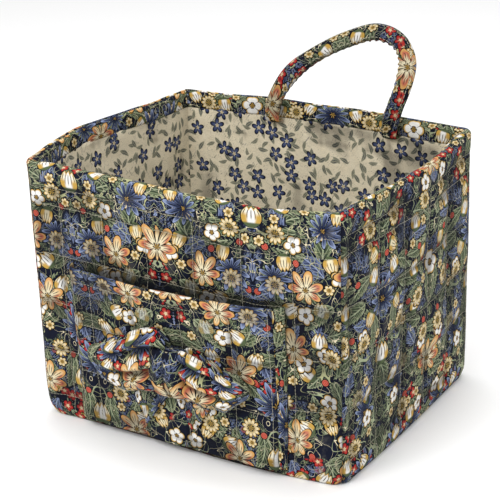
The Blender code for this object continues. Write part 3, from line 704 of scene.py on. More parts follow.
for side, w in SIDES.items():
    L = W if w["a"][0] else D
    t = snap(wall_t(L, DENS), quilt_columns(side, L), 0.014 / L, 1 - 0.014 / L)
    zl, f = wall_rows(DENS)
    top = crest(side, t)
    rows, roll = [], np.linspace(0, math.pi, 13)
    Z = np.concatenate([np.broadcast_to(zl, (len(t), len(zl))), 0.016 + (top[:, None] - ROLL_H - 0.016) * f[None, :]], 1)
    for i in range(len(t)):
        Z[i] = snap(Z[i], [top[i] - b for b in QUILT_ROWS], 0.018, top[i] - ROLL_H - 0.003)
    T = np.broadcast_to(t[:, None], Z.shape)
    seed = {"front": 11, "right": 23, "back": 37, "left": 53}[side]
    below = top[:, None] - Z
    S = T * L
    fade_low = smooth(Z, 0.004, 0.02)
    rl = relief(side, S, below, seed) * fade_low * smooth((0.5 - np.abs(T - 0.5)) * L, 0.0, 0.012) + seam_dip(T, L)
    rl = rl * (0.35 + 0.65 * smooth(below, 0.004, 0.012))
    P, Nn = wall(side, T, Z, np.zeros_like(Z), rl)
    # the roll over the rim: outer cloth as far as the crest's inner side
    fat = 0.0006 * wob(t * L, t * 0, seed + 9, 0.03)
    base, nb = wall(side, t, top - ROLL_H, np.zeros_like(t))
    ring_p, ring_n = [], []
    for th in roll[1:8]:
        dpt = WALL_T / 2 * (1 - math.cos(th))
        p, nn = wall(side, t, top - ROLL_H, np.full_like(t, dpt))
        p = p.copy()
        p[:, 2] += (ROLL_H + fat) * math.sin(th)
        nrm = nn * math.cos(th)
        nrm[:, 2] += math.sin(th)
        ring_p.append(p)
        ring_n.append(nrm)
    P = np.concatenate([P, np.stack(ring_p, 1)], 1)
    Nn = np.concatenate([Nn, np.stack(ring_n, 1)], 1)
    Nn /= np.linalg.norm(Nn, axis=-1, keepdims=True)
    vv = np.concatenate([Z, (top - ROLL_H)[:, None] + np.arange(1, 8)[None, :] * 0.0016], 1)
    uv = np.stack([np.broadcast_to((t * L)[:, None], vv.shape) + w["uv"][0], vv + w["uv"][1]], -1)
    full = np.concatenate([rl, np.full((len(t), 7), 0.0004)], 1)
    # relief value 0..1 from the quilting relief; the material paints shade where it is low
    relief_shade = np.clip(0.5 + full / 0.0022, 0, 1)
    if side == "front":
        # painted shade: the wall just inside the pocket mouth gets a negative relief value so the material darkens it
        xx = (T * W - W / 2)
        pocket_mouth_shade = smooth(POCKET_HALF - np.abs(xx - POCKET_X), 0.0, 0.012) * smooth(POCKET_TOP + 0.0070 - Z, 0.0, 0.011)
        relief_shade[:, :Z.shape[1]] = relief_shade[:, :Z.shape[1]] * (1 - pocket_mouth_shade) - pocket_mouth_shade
    ob = fix_normals(sheet_solid("quilted_" + side, P, Nn, OUT_T, uv, {"relief_shade": relief_shade}))
    give(ob, cloth_material("print_" + side, PRINT_GROUP), "basket", ("outer_" + side, "wadding_" + side))

    # facing: from under the outer cloth on the crest, down the inside
    rows_p, rows_n, rows_v = [], [], []
    for th in roll[6:]:
        dpt = WALL_T / 2 * (1 - math.cos(th))
        p, nn = wall(side, t, top - ROLL_H, np.full_like(t, dpt))
        p = p.copy()
        p[:, 2] += (ROLL_H + fat) * math.sin(th)
        nrm = nn * math.cos(th)
        nrm[:, 2] += math.sin(th)
        nrm /= np.linalg.norm(nrm, axis=-1, keepdims=True)
        if th < roll[8]:
            p -= nrm * 0.0009
        rows_p.append(p)
        rows_n.append(nrm)
        rows_v.append(0.0016 * len(rows_p))
    for dz in np.linspace(0.0012, FACING_H - ROLL_H, 7):
        zz = top - ROLL_H - dz
        bump = 0.0005 * wob(t * L, np.full_like(t, dz), seed + 12, 0.02) + 0.0006 * math.sin(math.pi * dz / (FACING_H - ROLL_H))
        p, nn = wall(side, t, zz, np.full_like(t, WALL_T))
        rows_p.append(p - nn * bump[:, None])
        rows_n.append(-nn)
        rows_v.append(rows_v[-1] + 0.0017)
    P2, N2 = np.stack(rows_p, 1), np.stack(rows_n, 1)
    v2 = np.broadcast_to(np.array(rows_v)[None, :], P2.shape[:2])
    uv2 = np.stack([np.broadcast_to((t * L)[:, None], v2.shape) + w["uv"][0] + 0.31, v2 + w["uv"][1] + 0.17], -1)
    # relief value per row: the 0.4 rows on the roll and the 0.3 bottom row paint a little shade there
    ridge2 = np.broadcast_to(np.array([0.4] * 3 + [0.8] * 4 + [0.6] * (P2.shape[1] - 8) + [0.3])[None, :], v2.shape)
    ob = fix_normals(sheet_solid("facing_" + side, P2, N2, 0.0015, uv2, {"relief_shade": ridge2}))
    give(ob, cloth_material("print_facing_" + side, PRINT_GROUP), "basket", ("rim_facing",))

    # lining
    seam = top - FACING_H + 0.0012
    nz = max(20, int(0.2 / (DENS * 1.5)))
    g = np.linspace(0, 1, nz)
    tl = wall_t(L, DENS * 1.4)
    topl = crest(side, tl) - FACING_H + 0.0012
    Zl = 0.0072 + (topl[:, None] - 0.0072) * g[None, :]
    Tl = np.broadcast_to(tl[:, None], Zl.shape)
    r3 = relief(side, Tl * L, crest(side, tl)[:, None] - Zl, seed + 70, 0.0011) * smooth((0.5 - np.abs(Tl - 0.5)) * L, 0.0, 0.012)
    r3 = r3 * smooth(Zl, 0.007, 0.02) * smooth(topl[:, None] - Zl, 0.0, 0.006)
    P3, N3 = wall(side, Tl, Zl, np.full_like(Zl, WALL_T - 0.0004))
    P3 = P3 - N3 * (r3 * 0.8)[..., None]
    uv3 = np.stack([Tl * L + w["uv"][0], Zl + w["uv"][1]], -1)
    # the lining's relief value makes the material paint shade in its hollows
    ob = fix_normals(sheet_solid("lining_cloth_" + side, P3, -N3, LIN_T * 0.8, uv3, {"relief_shade": np.clip(0.55 + r3 / 0.003, 0, 1)}))
    give(ob, cloth_material("lining_" + side, LINING_GROUP), "basket", ("lining_" + side,))

    # stitching on the outside: quilting grid and the line under the rim
    def on_wall(tt, zz):
        tt, zz = np.asarray(tt, float), np.asarray(zz, float)
        bl = crest(side, tt) - zz
        r = relief(side, tt * L, bl, seed) * smooth(zz, 0.004, 0.02) * smooth((0.5 - np.abs(tt - 0.5)) * L, 0.0, 0.012) + seam_dip(tt, L)
        r = r * (0.35 + 0.65 * smooth(bl, 0.004, 0.012))
        return wall(side, tt, zz, np.zeros_like(zz), r)
    tt = np.linspace(0.004, 0.996, 160)
    for k in range(5):
        zz = crest(side, tt) - 0.0345 - k * QUILT * 0.995
        stitches(side, *on_wall(tt, zz))
    stitches(side, *on_wall(tt, crest(side, tt) - 0.0195), length=0.0027, step=0.0032)
    s = w["first"]
    while s < L - 0.003:
        if s > 0.003:
            c0 = float(crest(side, np.array([s / L]))[0])
            zz = np.linspace(0.006, c0 - 0.0205, 120)
            stitches(side, *on_wall(np.full_like(zz, s / L), zz))
        s += QUILT

build_stitches({}, THREAD)
STITCH.clear()

# ------------------------------------------------------------------ underside and inside floor
def floor_cloth(name, depth, zlev, up, group, repl, seed, puff, lift0=0.0):
    """A quilted floor panel whose edge follows the walls' lower edge."""
    ring = []
    for side in ("front", "right", "back", "left"):
        L = W if SIDES[side]["a"][0] else D
        t = wall_t(L, 0.006)
        p, _ = wall(side, t, np.full_like(t, max(zlev, 0.0009)), np.full_like(t, depth))
        ring.append(p[:-1, :2])
    ring = np.concatenate(ring)
    n, m = len(ring), 34
    k = (np.arange(1, m + 1) / m) ** 0.85
    XY = ring[:, None, :] * k[None, :, None]
    X, Y = XY[..., 0], XY[..., 1]
    edge = 1 - k[None, :] * np.ones((n, 1))
    q = (1 - np.exp(-line_gap(X, 0.0, QUILT) / 0.005)) * (1 - np.exp(-line_gap(Y, 0.0, QUILT) / 0.005))
    r = (puff * (q - 0.7) + 0.0006 * wob(X, Y, seed, 0.05) + 0.0003 * wob(X, Y, seed + 1, 0.02)) * smooth(edge, 0.0, 0.08)
    s = 1.0 if up else -1.0
    th = 0.0014
    Z = zlev + s * (r + lift0)
    if not up:
        Z = np.maximum(Z, 0.00005)
    verts = np.concatenate([np.stack([X, Y, Z], -1).reshape(-1, 3), np.stack([X, Y, Z - s * th], -1).reshape(-1, 3),
                            [[0, 0, float(zlev + s * lift0)], [0, 0, float(zlev + s * lift0) - s * th]]])
    N0 = n * m
    faces = grid_faces(n, m, 0, False, wrap_u=True) + grid_faces(n, m, N0, True, wrap_u=True)
    for i in range(n):
        j = (i + 1) % n
        faces.append([i * m + m - 1, j * m + m - 1, N0 + j * m + m - 1, N0 + i * m + m - 1])
        faces.append([2 * N0, i * m, j * m])
        faces.append([2 * N0 + 1, N0 + j * m, N0 + i * m])
    uv = np.concatenate([np.stack([X, Y], -1).reshape(-1, 2)] * 2 + [np.zeros((2, 2))]) + np.array([0.9, 2.1])
    # the floor's relief value makes the material paint shade in its hollows
    relief_shade = np.concatenate([np.clip(0.5 + r.ravel() / 0.0025, 0, 1)] * 2 + [np.full(2, 0.5)])
    ob = fix_normals(new_object(name, verts, faces, uv, True, {"relief_shade": relief_shade}))
    return give(ob, cloth_material(name + "_cloth", group), "basket", repl)


floor_cloth("base_cloth", 0.0003, 0.0014, False, PRINT_GROUP, ("outer_base", "wadding_base"), 201, 0.0012)
floor_sheet = floor_cloth("lining_floor", WALL_T - 0.0005, 0.0086, True, LINING_GROUP, ("lining_base",), 211, 0.0016)

# the stiffener inside the base keeps its own shape
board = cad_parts.get("base_board")
if board is not None:
    bm_ = bpy.data.materials.new("grey_board")
    bm_.use_nodes = True
    nb_ = Nodes(bm_.node_tree)
    tc_ = nb_.new("ShaderNodeTexCoord")
    nz_ = nb_.new("ShaderNodeTexNoise")
    nz_.inputs["Scale"].default_value = 240.0
    nz_.inputs["Detail"].default_value = 5.0
    bm_.node_tree.links.new(tc_.outputs["Object"], nz_.inputs["Vector"])
    bs_ = bm_.node_tree.nodes["Principled BSDF"]
    bm_.node_tree.links.new(nb_.mix(nz_.outputs["Fac"], lin(140, 126, 102), lin(176, 162, 134)), bs_.inputs["Base Color"])
    bm_.node_tree.links.new(nb_.step(nz_.outputs["Fac"], 0.3, 0.7, 0.8, 0.95), bs_.inputs["Roughness"])
    bu_ = nb_.new("ShaderNodeBump")
    bu_.inputs["Strength"].default_value = 0.4
    bu_.inputs["Distance"].default_value = 0.0002
    bm_.node_tree.links.new(nz_.outputs["Fac"], bu_.inputs["Height"])
    bm_.node_tree.links.new(bu_.outputs[0], bs_.inputs["Normal"])
    board.data.materials.clear()
    board.data.materials.append(bm_)

# ------------------------------------------------------------------ front pocket
def front_y(x, z, depth=0.0):
    t = (x + W / 2) / W
    return -(D / 2 - (depth + inset(z)) + outward("front", t, z))


def pocket_proud(x, z):
    u = (x - POCKET_X) / POCKET_HALF
    h = np.clip((z - POCKET_BOTTOM) / (POCKET_TOP - POCKET_BOTTOM), 0, 1.2)
    side = PROUD_LOW + (PROUD_TOP - PROUD_LOW) * h ** 1.1
    return side + GAPE * np.cos(math.pi / 2 * np.minimum(1.0, np.abs(u))) * h ** 3


def pocket_face_y(x, z):
    return front_y(x, z) - pocket_proud(x, z)


PK_V = (-0.0765, -0.0335, 0.0098, 0.0530)
PK_H = (0.0940, 0.0525, 0.0130)


def pocket_relief(x, z):
    dv = np.min([np.abs(x - v) for v in PK_V], axis=0)
    dh = np.min([np.abs(z - v) for v in PK_H], axis=0)
    dt = np.abs(z - (POCKET_TOP - 0.0105))
    q = (1 - np.exp(-dv / 0.0040)) * (1 - np.exp(-dh / 0.0040)) * (1 - 0.85 * np.exp(-dt / 0.0030))
    q = np.where(z > POCKET_TOP - 0.0105, 1 - np.exp(-dt / 0.003), q)
    e = np.minimum(np.abs(x - POCKET_X - POCKET_HALF), np.abs(x - POCKET_X + POCKET_HALF))
    edge = smooth(e, 0.0, 0.008)
    puck = np.exp(-dv / 0.004) * np.sin(z / 0.0092 * 2 * math.pi + 3 * wob(x, z, 301, 0.05)) + np.exp(-dt / 0.004) * np.sin(x / 0.0105 * 2 * math.pi + 3 * wob(x, z, 302, 0.05))
    return (0.0021 * (q - 0.7) + 0.0004 * puck + 0.0013 * wob(x, z, 303, 0.05) + 0.0006 * wob(x, z, 304, 0.02)) * edge - 0.0008 * (1 - edge)


def ring_solid(name, R, uv, attrs=None):
    """Closed tube through rings R[nu, m, 3]; each end is closed by a ladder of quads (m even)."""
    nu, m = R.shape[:2]
    faces = grid_faces(nu, m, 0, False, wrap_v=True)
    for base in (0, (nu - 1) * m):
        for i in range(m // 2 - 1):
            f = [base + i, base + i + 1, base + m - 2 - i, base + m - 1 - i]
            faces.append(f)
    ob = new_object(name, R.reshape(-1, 3), faces, uv.reshape(-1, 2), True, attrs)
    return fix_normals(ob)


def slab(name, P, N, thick, uv, round_top=True, attrs=None):
    """A cloth slab: outer face P[nu, nv], a rounded top edge, and an inner face `thick` behind."""
    nu, nv = P.shape[:2]
    up = P[:, -1] - P[:, -2]
    up /= np.linalg.norm(up, axis=-1, keepdims=True)
    k = 6 if round_top else 0
    top = []
    for i in range(1, k + 1):
        a = math.pi * i / (k + 1)
        c = P[:, -1] - N[:, -1] * thick / 2
        top.append(c + N[:, -1] * thick / 2 * math.cos(a) + up * thick / 2 * math.sin(a))
    inner = P - N * thick
    parts = [P] + ([np.stack(top, 1)] if top else []) + [inner[:, ::-1]]
    R = np.concatenate(parts, 1)
    last = uv[:, -1:, :]
    tuv = [last + np.array([0, 0.0012 * (i + 1)]) for i in range(k)]
    U = np.concatenate([uv] + tuv + [uv[:, ::-1] + np.array([0.11, 0.0])], 1)
    at = {}
    for kk, v in (attrs or {}).items():
        at[kk] = np.concatenate([v] + [v[:, -1:]] * k + [v[:, ::-1]], 1)
    return ring_solid(name, R, U, at)


dens = 0.0022
xs = snap(np.linspace(POCKET_X - POCKET_HALF, POCKET_X + POCKET_HALF, int(2 * POCKET_HALF / dens)), PK_V, POCKET_X - POCKET_HALF + 0.004, POCKET_X + POCKET_HALF - 0.004)
zs = np.concatenate([[0.0075, 0.0088, 0.0104, 0.0122], snap(np.linspace(0.0140, POCKET_TOP, int(0.127 / dens)), PK_H + (POCKET_TOP - 0.0105,), 0.017, POCKET_TOP - 0.003)])
X, Z = np.meshgrid(xs, zs, indexing="ij")
rel = pocket_relief(X, Z)
fat = smooth(POCKET_TOP - Z, 0.0, 0.003)
Y = pocket_face_y(X, Z)
edge_in = np.exp(-((POCKET_HALF - np.abs(X - POCKET_X)) / 0.0016) ** 2)
P = np.stack([X, Y - rel + 0.0014 * edge_in, Z], -1)
Np = -normals_of(P)
Np *= np.sign(-Np[..., 1:2])
uvp = np.stack([X + 0.139 + 2.33, Z + 0.043], -1)
# the pocket's relief value makes the material paint shade in its hollows
ob = slab("pocket_panel", P, Np, 0.0030, uvp, True, {"relief_shade": np.clip(0.5 + rel / 0.0022, 0, 1)})
give(ob, cloth_material("print_pocket", PRINT_GROUP), "basket", ("pocket_front",))


def on_pocket(x, z):
    x, z = np.broadcast_arrays(np.asarray(x, float), np.asarray(z, float))
    y = pocket_face_y(x, z) - pocket_relief(x, z)
    n = np.zeros(x.shape + (3,))
    n[..., 1] = -1
    return np.stack([x, y, z], -1), n


for v in PK_V:
    stitches("pocket", *on_pocket(v, np.linspace(0.010, POCKET_TOP - 0.0115, 90)))
for v in PK_H:
    stitches("pocket", *on_pocket(np.linspace(POCKET_X - POCKET_HALF + 0.003, POCKET_X + POCKET_HALF - 0.003, 120), v))
stitches("pocket", *on_pocket(np.linspace(POCKET_X - POCKET_HALF + 0.003, POCKET_X + POCKET_HALF - 0.003, 120), POCKET_TOP - 0.0105), length=0.0027, step=0.0032)
for sg in (-1, 1):
    e = POCKET_X + sg * (POCKET_HALF - 0.0030)
    stitches("pocket", *on_pocket(e, np.linspace(0.010, POCKET_TOP - 0.002, 100)))

for sg, nm in ((-1, "left"), (1, "right")):
    zz = zs
    v = np.linspace(0, 1, 9)
    ZZ, VV = np.meshgrid(zz, v, indexing="xy")        # rows across, columns up
    edge = POCKET_X + sg * (POCKET_HALF - 0.0006)
    xw = edge + sg * FLARE
    x = xw + (edge - xw) * VV
    back = front_y(np.full_like(ZZ, xw), ZZ) - 0.0006
    frt = pocket_face_y(np.full_like(ZZ, edge), ZZ) + 0.0022
    y = back + (frt - back) * VV
    bow_in = 0.0010 * np.sin(math.pi * VV) * (0.5 + 0.5 * wob(VV, ZZ, 330 + sg, 0.03))
    Pg = np.stack([x + sg * bow_in, y, ZZ], -1)
    Ng = normals_of(Pg)
    Ng *= np.sign(Ng[..., 0:1]) * sg
    uvg = np.stack([VV * 0.014 + 3.7 + sg, ZZ + 0.4], -1)
    # the relief value falls to 0 at the wall, which paints shade along the gusset's join with the wall
    ob = slab("pocket_gusset_" + nm, Pg, Ng, 0.0018, uvg, True, {"relief_shade": 0.6 - 0.6 * np.exp(-(VV / 0.12) ** 2)})
    give(ob, cloth_material("print_gusset_" + nm, PRINT_GROUP), "basket", ("pocket_%s_gusset" % nm,))

# ------------------------------------------------------------------ bow
def spline(xs_, ys_, q):
    """Smooth (monotone-ish) interpolation through control points."""
    xs_, ys_ = np.asarray(xs_, float), np.asarray(ys_, float)
    d = np.gradient(ys_, xs_)
    i = np.clip(np.searchsorted(xs_, q, side="right") - 1, 0, len(xs_) - 2)
    h = xs_[i + 1] - xs_[i]
    t = np.clip((q - xs_[i]) / h, 0, 1)
    return ((2 * t ** 3 - 3 * t ** 2 + 1) * ys_[i] + (t ** 3 - 2 * t ** 2 + t) * h * d[i]
            + (-2 * t ** 3 + 3 * t ** 2) * ys_[i + 1] + (t ** 3 - t ** 2) * h * d[i + 1])


def bow_loop(name, sg, tip, tops, bots, node, seed):
    """A folded band: from behind the knot out to the tip, round, and back over the front, gathered into pleats."""
    nu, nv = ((72, 34))
    q = np.linspace(0, 1, nu)
    hs = spline([0, 0.10, 0.24, 0.38, 0.45, 0.50, 0.55, 0.62, 0.76, 0.90, 1.0],
                [0.0, 0.24, 0.58, 0.90, 0.975, 1.0, 0.975, 0.89, 0.55, 0.20, 0.0], q)
    lf = spline([0, 0.10, 0.24, 0.38, 0.45, 0.50, 0.55, 0.62, 0.76, 0.90, 1.0],
                [0.0012, 0.0012, 0.0014, 0.0020, 0.0032, 0.0062, 0.0096, 0.0125, 0.0160, 0.0155, 0.0105], q)
    b = np.linspace(-1, 1, nv)
    HS, B = np.meshgrid(hs, b, indexing="ij")
    LF = np.broadcast_to(lf[:, None], HS.shape)
    front = np.broadcast_to(smooth(q, 0.44, 0.62)[:, None], HS.shape)
    top = spline(*tops, HS)
    bot = spline(*bots, HS)
    wave = 0.0011 * np.sin(HS * 19 + seed) * smooth(HS, 0.15, 0.5)
    zc = (top + bot) / 2 + (top - bot) / 2 * B * (1 - 0.06 * (1 - front)) + wave * B ** 2
    x0 = -0.0020 if sg < 0 else 0.0100
    x = sg * (x0 + (tip - x0) * HS + 0.0035 * smooth(HS, 0.6, 1.0) * (0.35 - B ** 2))
    pleat = (np.cos((B * 1.15 + 0.15 * sg) * 2 * math.pi * 1.3 + seed) * 0.0042 + np.cos(B * 2 * math.pi * 2.7 + seed * 2) * 0.0018)
    fade = smooth(HS, 0.0, 0.10) * (1 - smooth(HS, 0.30, 0.95))
    lift = LF * (1 - front * 0.30 * np.abs(B) ** 2.4) + front * pleat * fade + 0.0009 * wob(HS * 0.06, B * 0.027, seed + 3, 0.022) * (0.3 + front)
    lift = np.maximum(lift, 0.0010 + 0.0017 * front)
    y = pocket_face_y(x, zc) - 0.0012 - lift
    Pb = np.stack([x, y, zc], -1)
    Nb = normals_of(Pb)
    mid = Nb[int(nu * 0.75), nv // 2]
    if mid[1] > 0:
        Nb = -Nb
    L = np.concatenate([[0], np.cumsum(np.linalg.norm(np.diff(Pb[:, nv // 2], axis=0), axis=1))])
    uvb = np.stack([np.broadcast_to(L[:, None], B.shape) + 5.1 + seed, B * 0.027 + 0.3], -1)
    # the relief value follows the pleats, painting shade in their valleys
    relief_shade = np.clip(0.55 + front * (pleat * fade) / 0.006 + 0.25 * np.abs(B) ** 6, 0, 1)
    ob = fix_normals(sheet_solid(name, Pb, Nb, 0.0013, uvb, {"relief_shade": relief_shade}))
    give(ob, cloth_material("print_" + name, PRINT_GROUP), "basket", (node,))
    for bb in (-0.90, 0.90):
        j = int(round((bb + 1) / 2 * (nv - 1)))
        rows = slice(int(nu * 0.56), int(nu * 0.93))
        stitches("bow", Pb[rows, j], Nb[rows, j], length=0.0028, step=0.0036, wide=0.00030)
    return ob


bow_loop("bow_loop_left", -1, 0.0755, ([0, 0.10, 0.22, 0.5, 0.8, 1.0], [0.1055, 0.1125, 0.1120, 0.1020, 0.0905, 0.0825]),
         ([0, 0.12, 0.35, 0.62, 0.85, 1.0], [0.0660, 0.0590, 0.0530, 0.0525, 0.0590, 0.0690]), "bow_left_loop", 1)
bow_loop("bow_loop_right", 1, 0.0695, ([0, 0.10, 0.25, 0.5, 0.8, 1.0], [0.0930, 0.1000, 0.1005, 0.0940, 0.0855, 0.0800]),
         ([0, 0.12, 0.35, 0.62, 0.85, 1.0], [0.0640, 0.0570, 0.0520, 0.0530, 0.0595, 0.0670]), "bow_right_loop", 4)


def bow_tail(name, x0, x1, z0, z1, w0, w1, node, seed, slant):
    nu, nv = 30, 18
    u = np.linspace(0, 1, nu)[:, None] * np.ones((1, nv))
    b = np.ones((nu, 1)) * np.linspace(-1, 1, nv)[None, :]
    wid = (w0 + (w1 - w0) * u ** 0.8)
    d = np.array([x1 - x0, z1 - z0])
    d = d / np.linalg.norm(d)
    uu = u * (1 + slant * b * 0.16)
    x = x0 + (x1 - x0) * uu - d[1] * wid * b
    z = z0 + (z1 - z0) * uu + d[0] * wid * b
    lift = 0.0028 + 0.0022 * np.sin(u * math.pi * 0.9) + 0.0016 * np.cos(b * math.pi * 1.2 + seed) * (1 - 0.45 * u) + 0.0007 * wob(u * 0.05, b * 0.02, seed, 0.02)
    y = pocket_face_y(x, z) - lift
    Pt = np.stack([x, y, z], -1)
    Nt = normals_of(Pt)
    Nt *= np.sign(-Nt[..., 1:2])
    uvt = np.stack([u * 0.05 + 7.3 + seed, b * 0.016 + 0.6], -1)
    # the relief value follows the cross folds, painting shade in their valleys
    ob = fix_normals(sheet_solid(name, Pt, Nt, 0.0013, uvt, {"relief_shade": np.clip(0.5 + 0.35 * np.cos(b * math.pi * 1.2 + seed), 0, 1)}))
    give(ob, cloth_material("print_" + name, PRINT_GROUP), "basket", (node,))


bow_tail("bow_tail_left", -0.005, -0.0330, 0.0640, 0.0345, 0.0065, 0.0120, "bow_left_tail", 2, 1.0)
bow_tail("bow_tail_right", 0.005, 0.0235, 0.0640, 0.0355, 0.0065, 0.0115, "bow_right_tail", 5, -1.0)


def bow_knot():
    """The band wrapped over the middle: fuller at the front, creased where it is pulled tight."""
    nu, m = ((34, 48))
    u = np.linspace(0, 1, nu)
    a = 2 * math.pi * np.arange(m) / m
    U, A = np.meshgrid(u, a, indexing="ij")
    ca, sa = np.cos(A), np.sin(A)
    z = BOW_Z - 0.0005 + 0.0400 * (U - 0.5)
    fat = 0.50 + 0.50 * np.sin(math.pi * (0.06 + 0.88 * U)) ** 0.8
    px = np.sign(ca) * np.abs(ca) ** 0.75 * 0.0160 * (0.80 + 0.20 * fat) + 0.0025
    fold = 0.0016 * np.cos(px / 0.0078 * 2 * math.pi * 0.55 + 0.9 * np.sin(U * 3.3) + 0.8) + 0.0007 * np.cos(px / 0.0045 * 2 * math.pi * 0.5 + U * 2)
    sy = 0.5 + 0.5 * np.sign(sa) * np.abs(sa) ** 0.70
    lift = 0.0205 * fat * sy + fold * sy * np.sin(math.pi * np.clip(U, 0.03, 0.97)) + 0.0006 * wob(px, z, 401, 0.02) * sy
    y = pocket_face_y(px, z) - 0.0008 - lift
    R = np.stack([px, y, z], -1)
    # ring_solid closes each ring end with a ladder of quads
    uvk = np.stack([px + 9.4, z * 1.0 + lift * 0.8 + 0.8], -1)
    # the relief value follows the creases, painting shade in them
    ob = ring_solid("bow_knot_band", R, uvk, {"relief_shade": np.clip(0.5 + fold / 0.003, 0, 1)})
    give(ob, cloth_material("print_bow_knot", PRINT_GROUP), "basket", ("bow_knot",))


bow_knot()

# ------------------------------------------------------------------ handles
FEET = (-0.044, 0.068)
BACK_AXIS = (0.104785907, 0.204)
FRONT_AXIS = (-0.104756027, 0.201)
BACK_ROOT, BACK_RADIUS, BACK_LEAN, FRONT_LEAN = 0.020, 0.060, math.radians(35.0), math.radians(4.5)


def back_surface(s):
    th = np.clip((s - BACK_ROOT) / BACK_RADIUS, 0, BACK_LEAN)
    e = np.maximum(s - BACK_ROOT - BACK_RADIUS * BACK_LEAN, 0)
    return (BACK_RADIUS * (1 - np.cos(th)) + e * math.sin(BACK_LEAN),
            np.minimum(s, BACK_ROOT) + BACK_RADIUS * np.sin(th) + e * math.cos(BACK_LEAN), th)


def front_surface(s):
    return s * math.sin(FRONT_LEAN), -s * math.cos(FRONT_LEAN), np.full_like(s, FRONT_LEAN)


def catmull(points, per):
    pts = [Vector(p) for p in points]
    pts = [2 * pts[0] - pts[1]] + pts + [2 * pts[-1] - pts[-2]]
    out = []
    for i in range(1, len(pts) - 2):
        a, b, c, d = pts[i - 1:i + 3]
        for k in range(per):
            t = k / per
            out.append(0.5 * ((2 * b) + (c - a) * t + (2 * a - 5 * b + 4 * c - d) * t * t + (3 * b - a - 3 * c + d) * t ** 3))
    out.append(pts[-2])
    return np.array([list(p) for p in out])


def resample(p, step):
    d = np.concatenate([[0], np.cumsum(np.linalg.norm(np.diff(p, axis=0), axis=1))])
    n = int(d[-1] / step)
    q = np.linspace(0, d[-1], n)
    return np.stack([np.interp(q, d, p[:, i]) for i in range(p.shape[1])], 1), q


BACK_LOOP = [(FEET[0], 0.002), (FEET[0] + 0.002, 0.015), (-0.0345, 0.031), (-0.0215, 0.050), (-0.0030, 0.0665),
             (0.0190, 0.0800), (0.0420, 0.0885), (0.0635, 0.0830), (0.0765, 0.0665), (0.0780, 0.0460), (0.0730, 0.0270),
             (FEET[1] + 0.001, 0.0130), (FEET[1], 0.002)]
FRONT_LOOP = [(FEET[0], 0.002), (FEET[0], 0.014)] + [
    (0.012 - 0.056 * math.cos(math.pi * i / 12), 0.014 + 0.072 * math.sin(math.pi * i / 12) ** 0.92) for i in range(1, 12)
] + [(FEET[1], 0.014), (FEET[1], 0.002)]


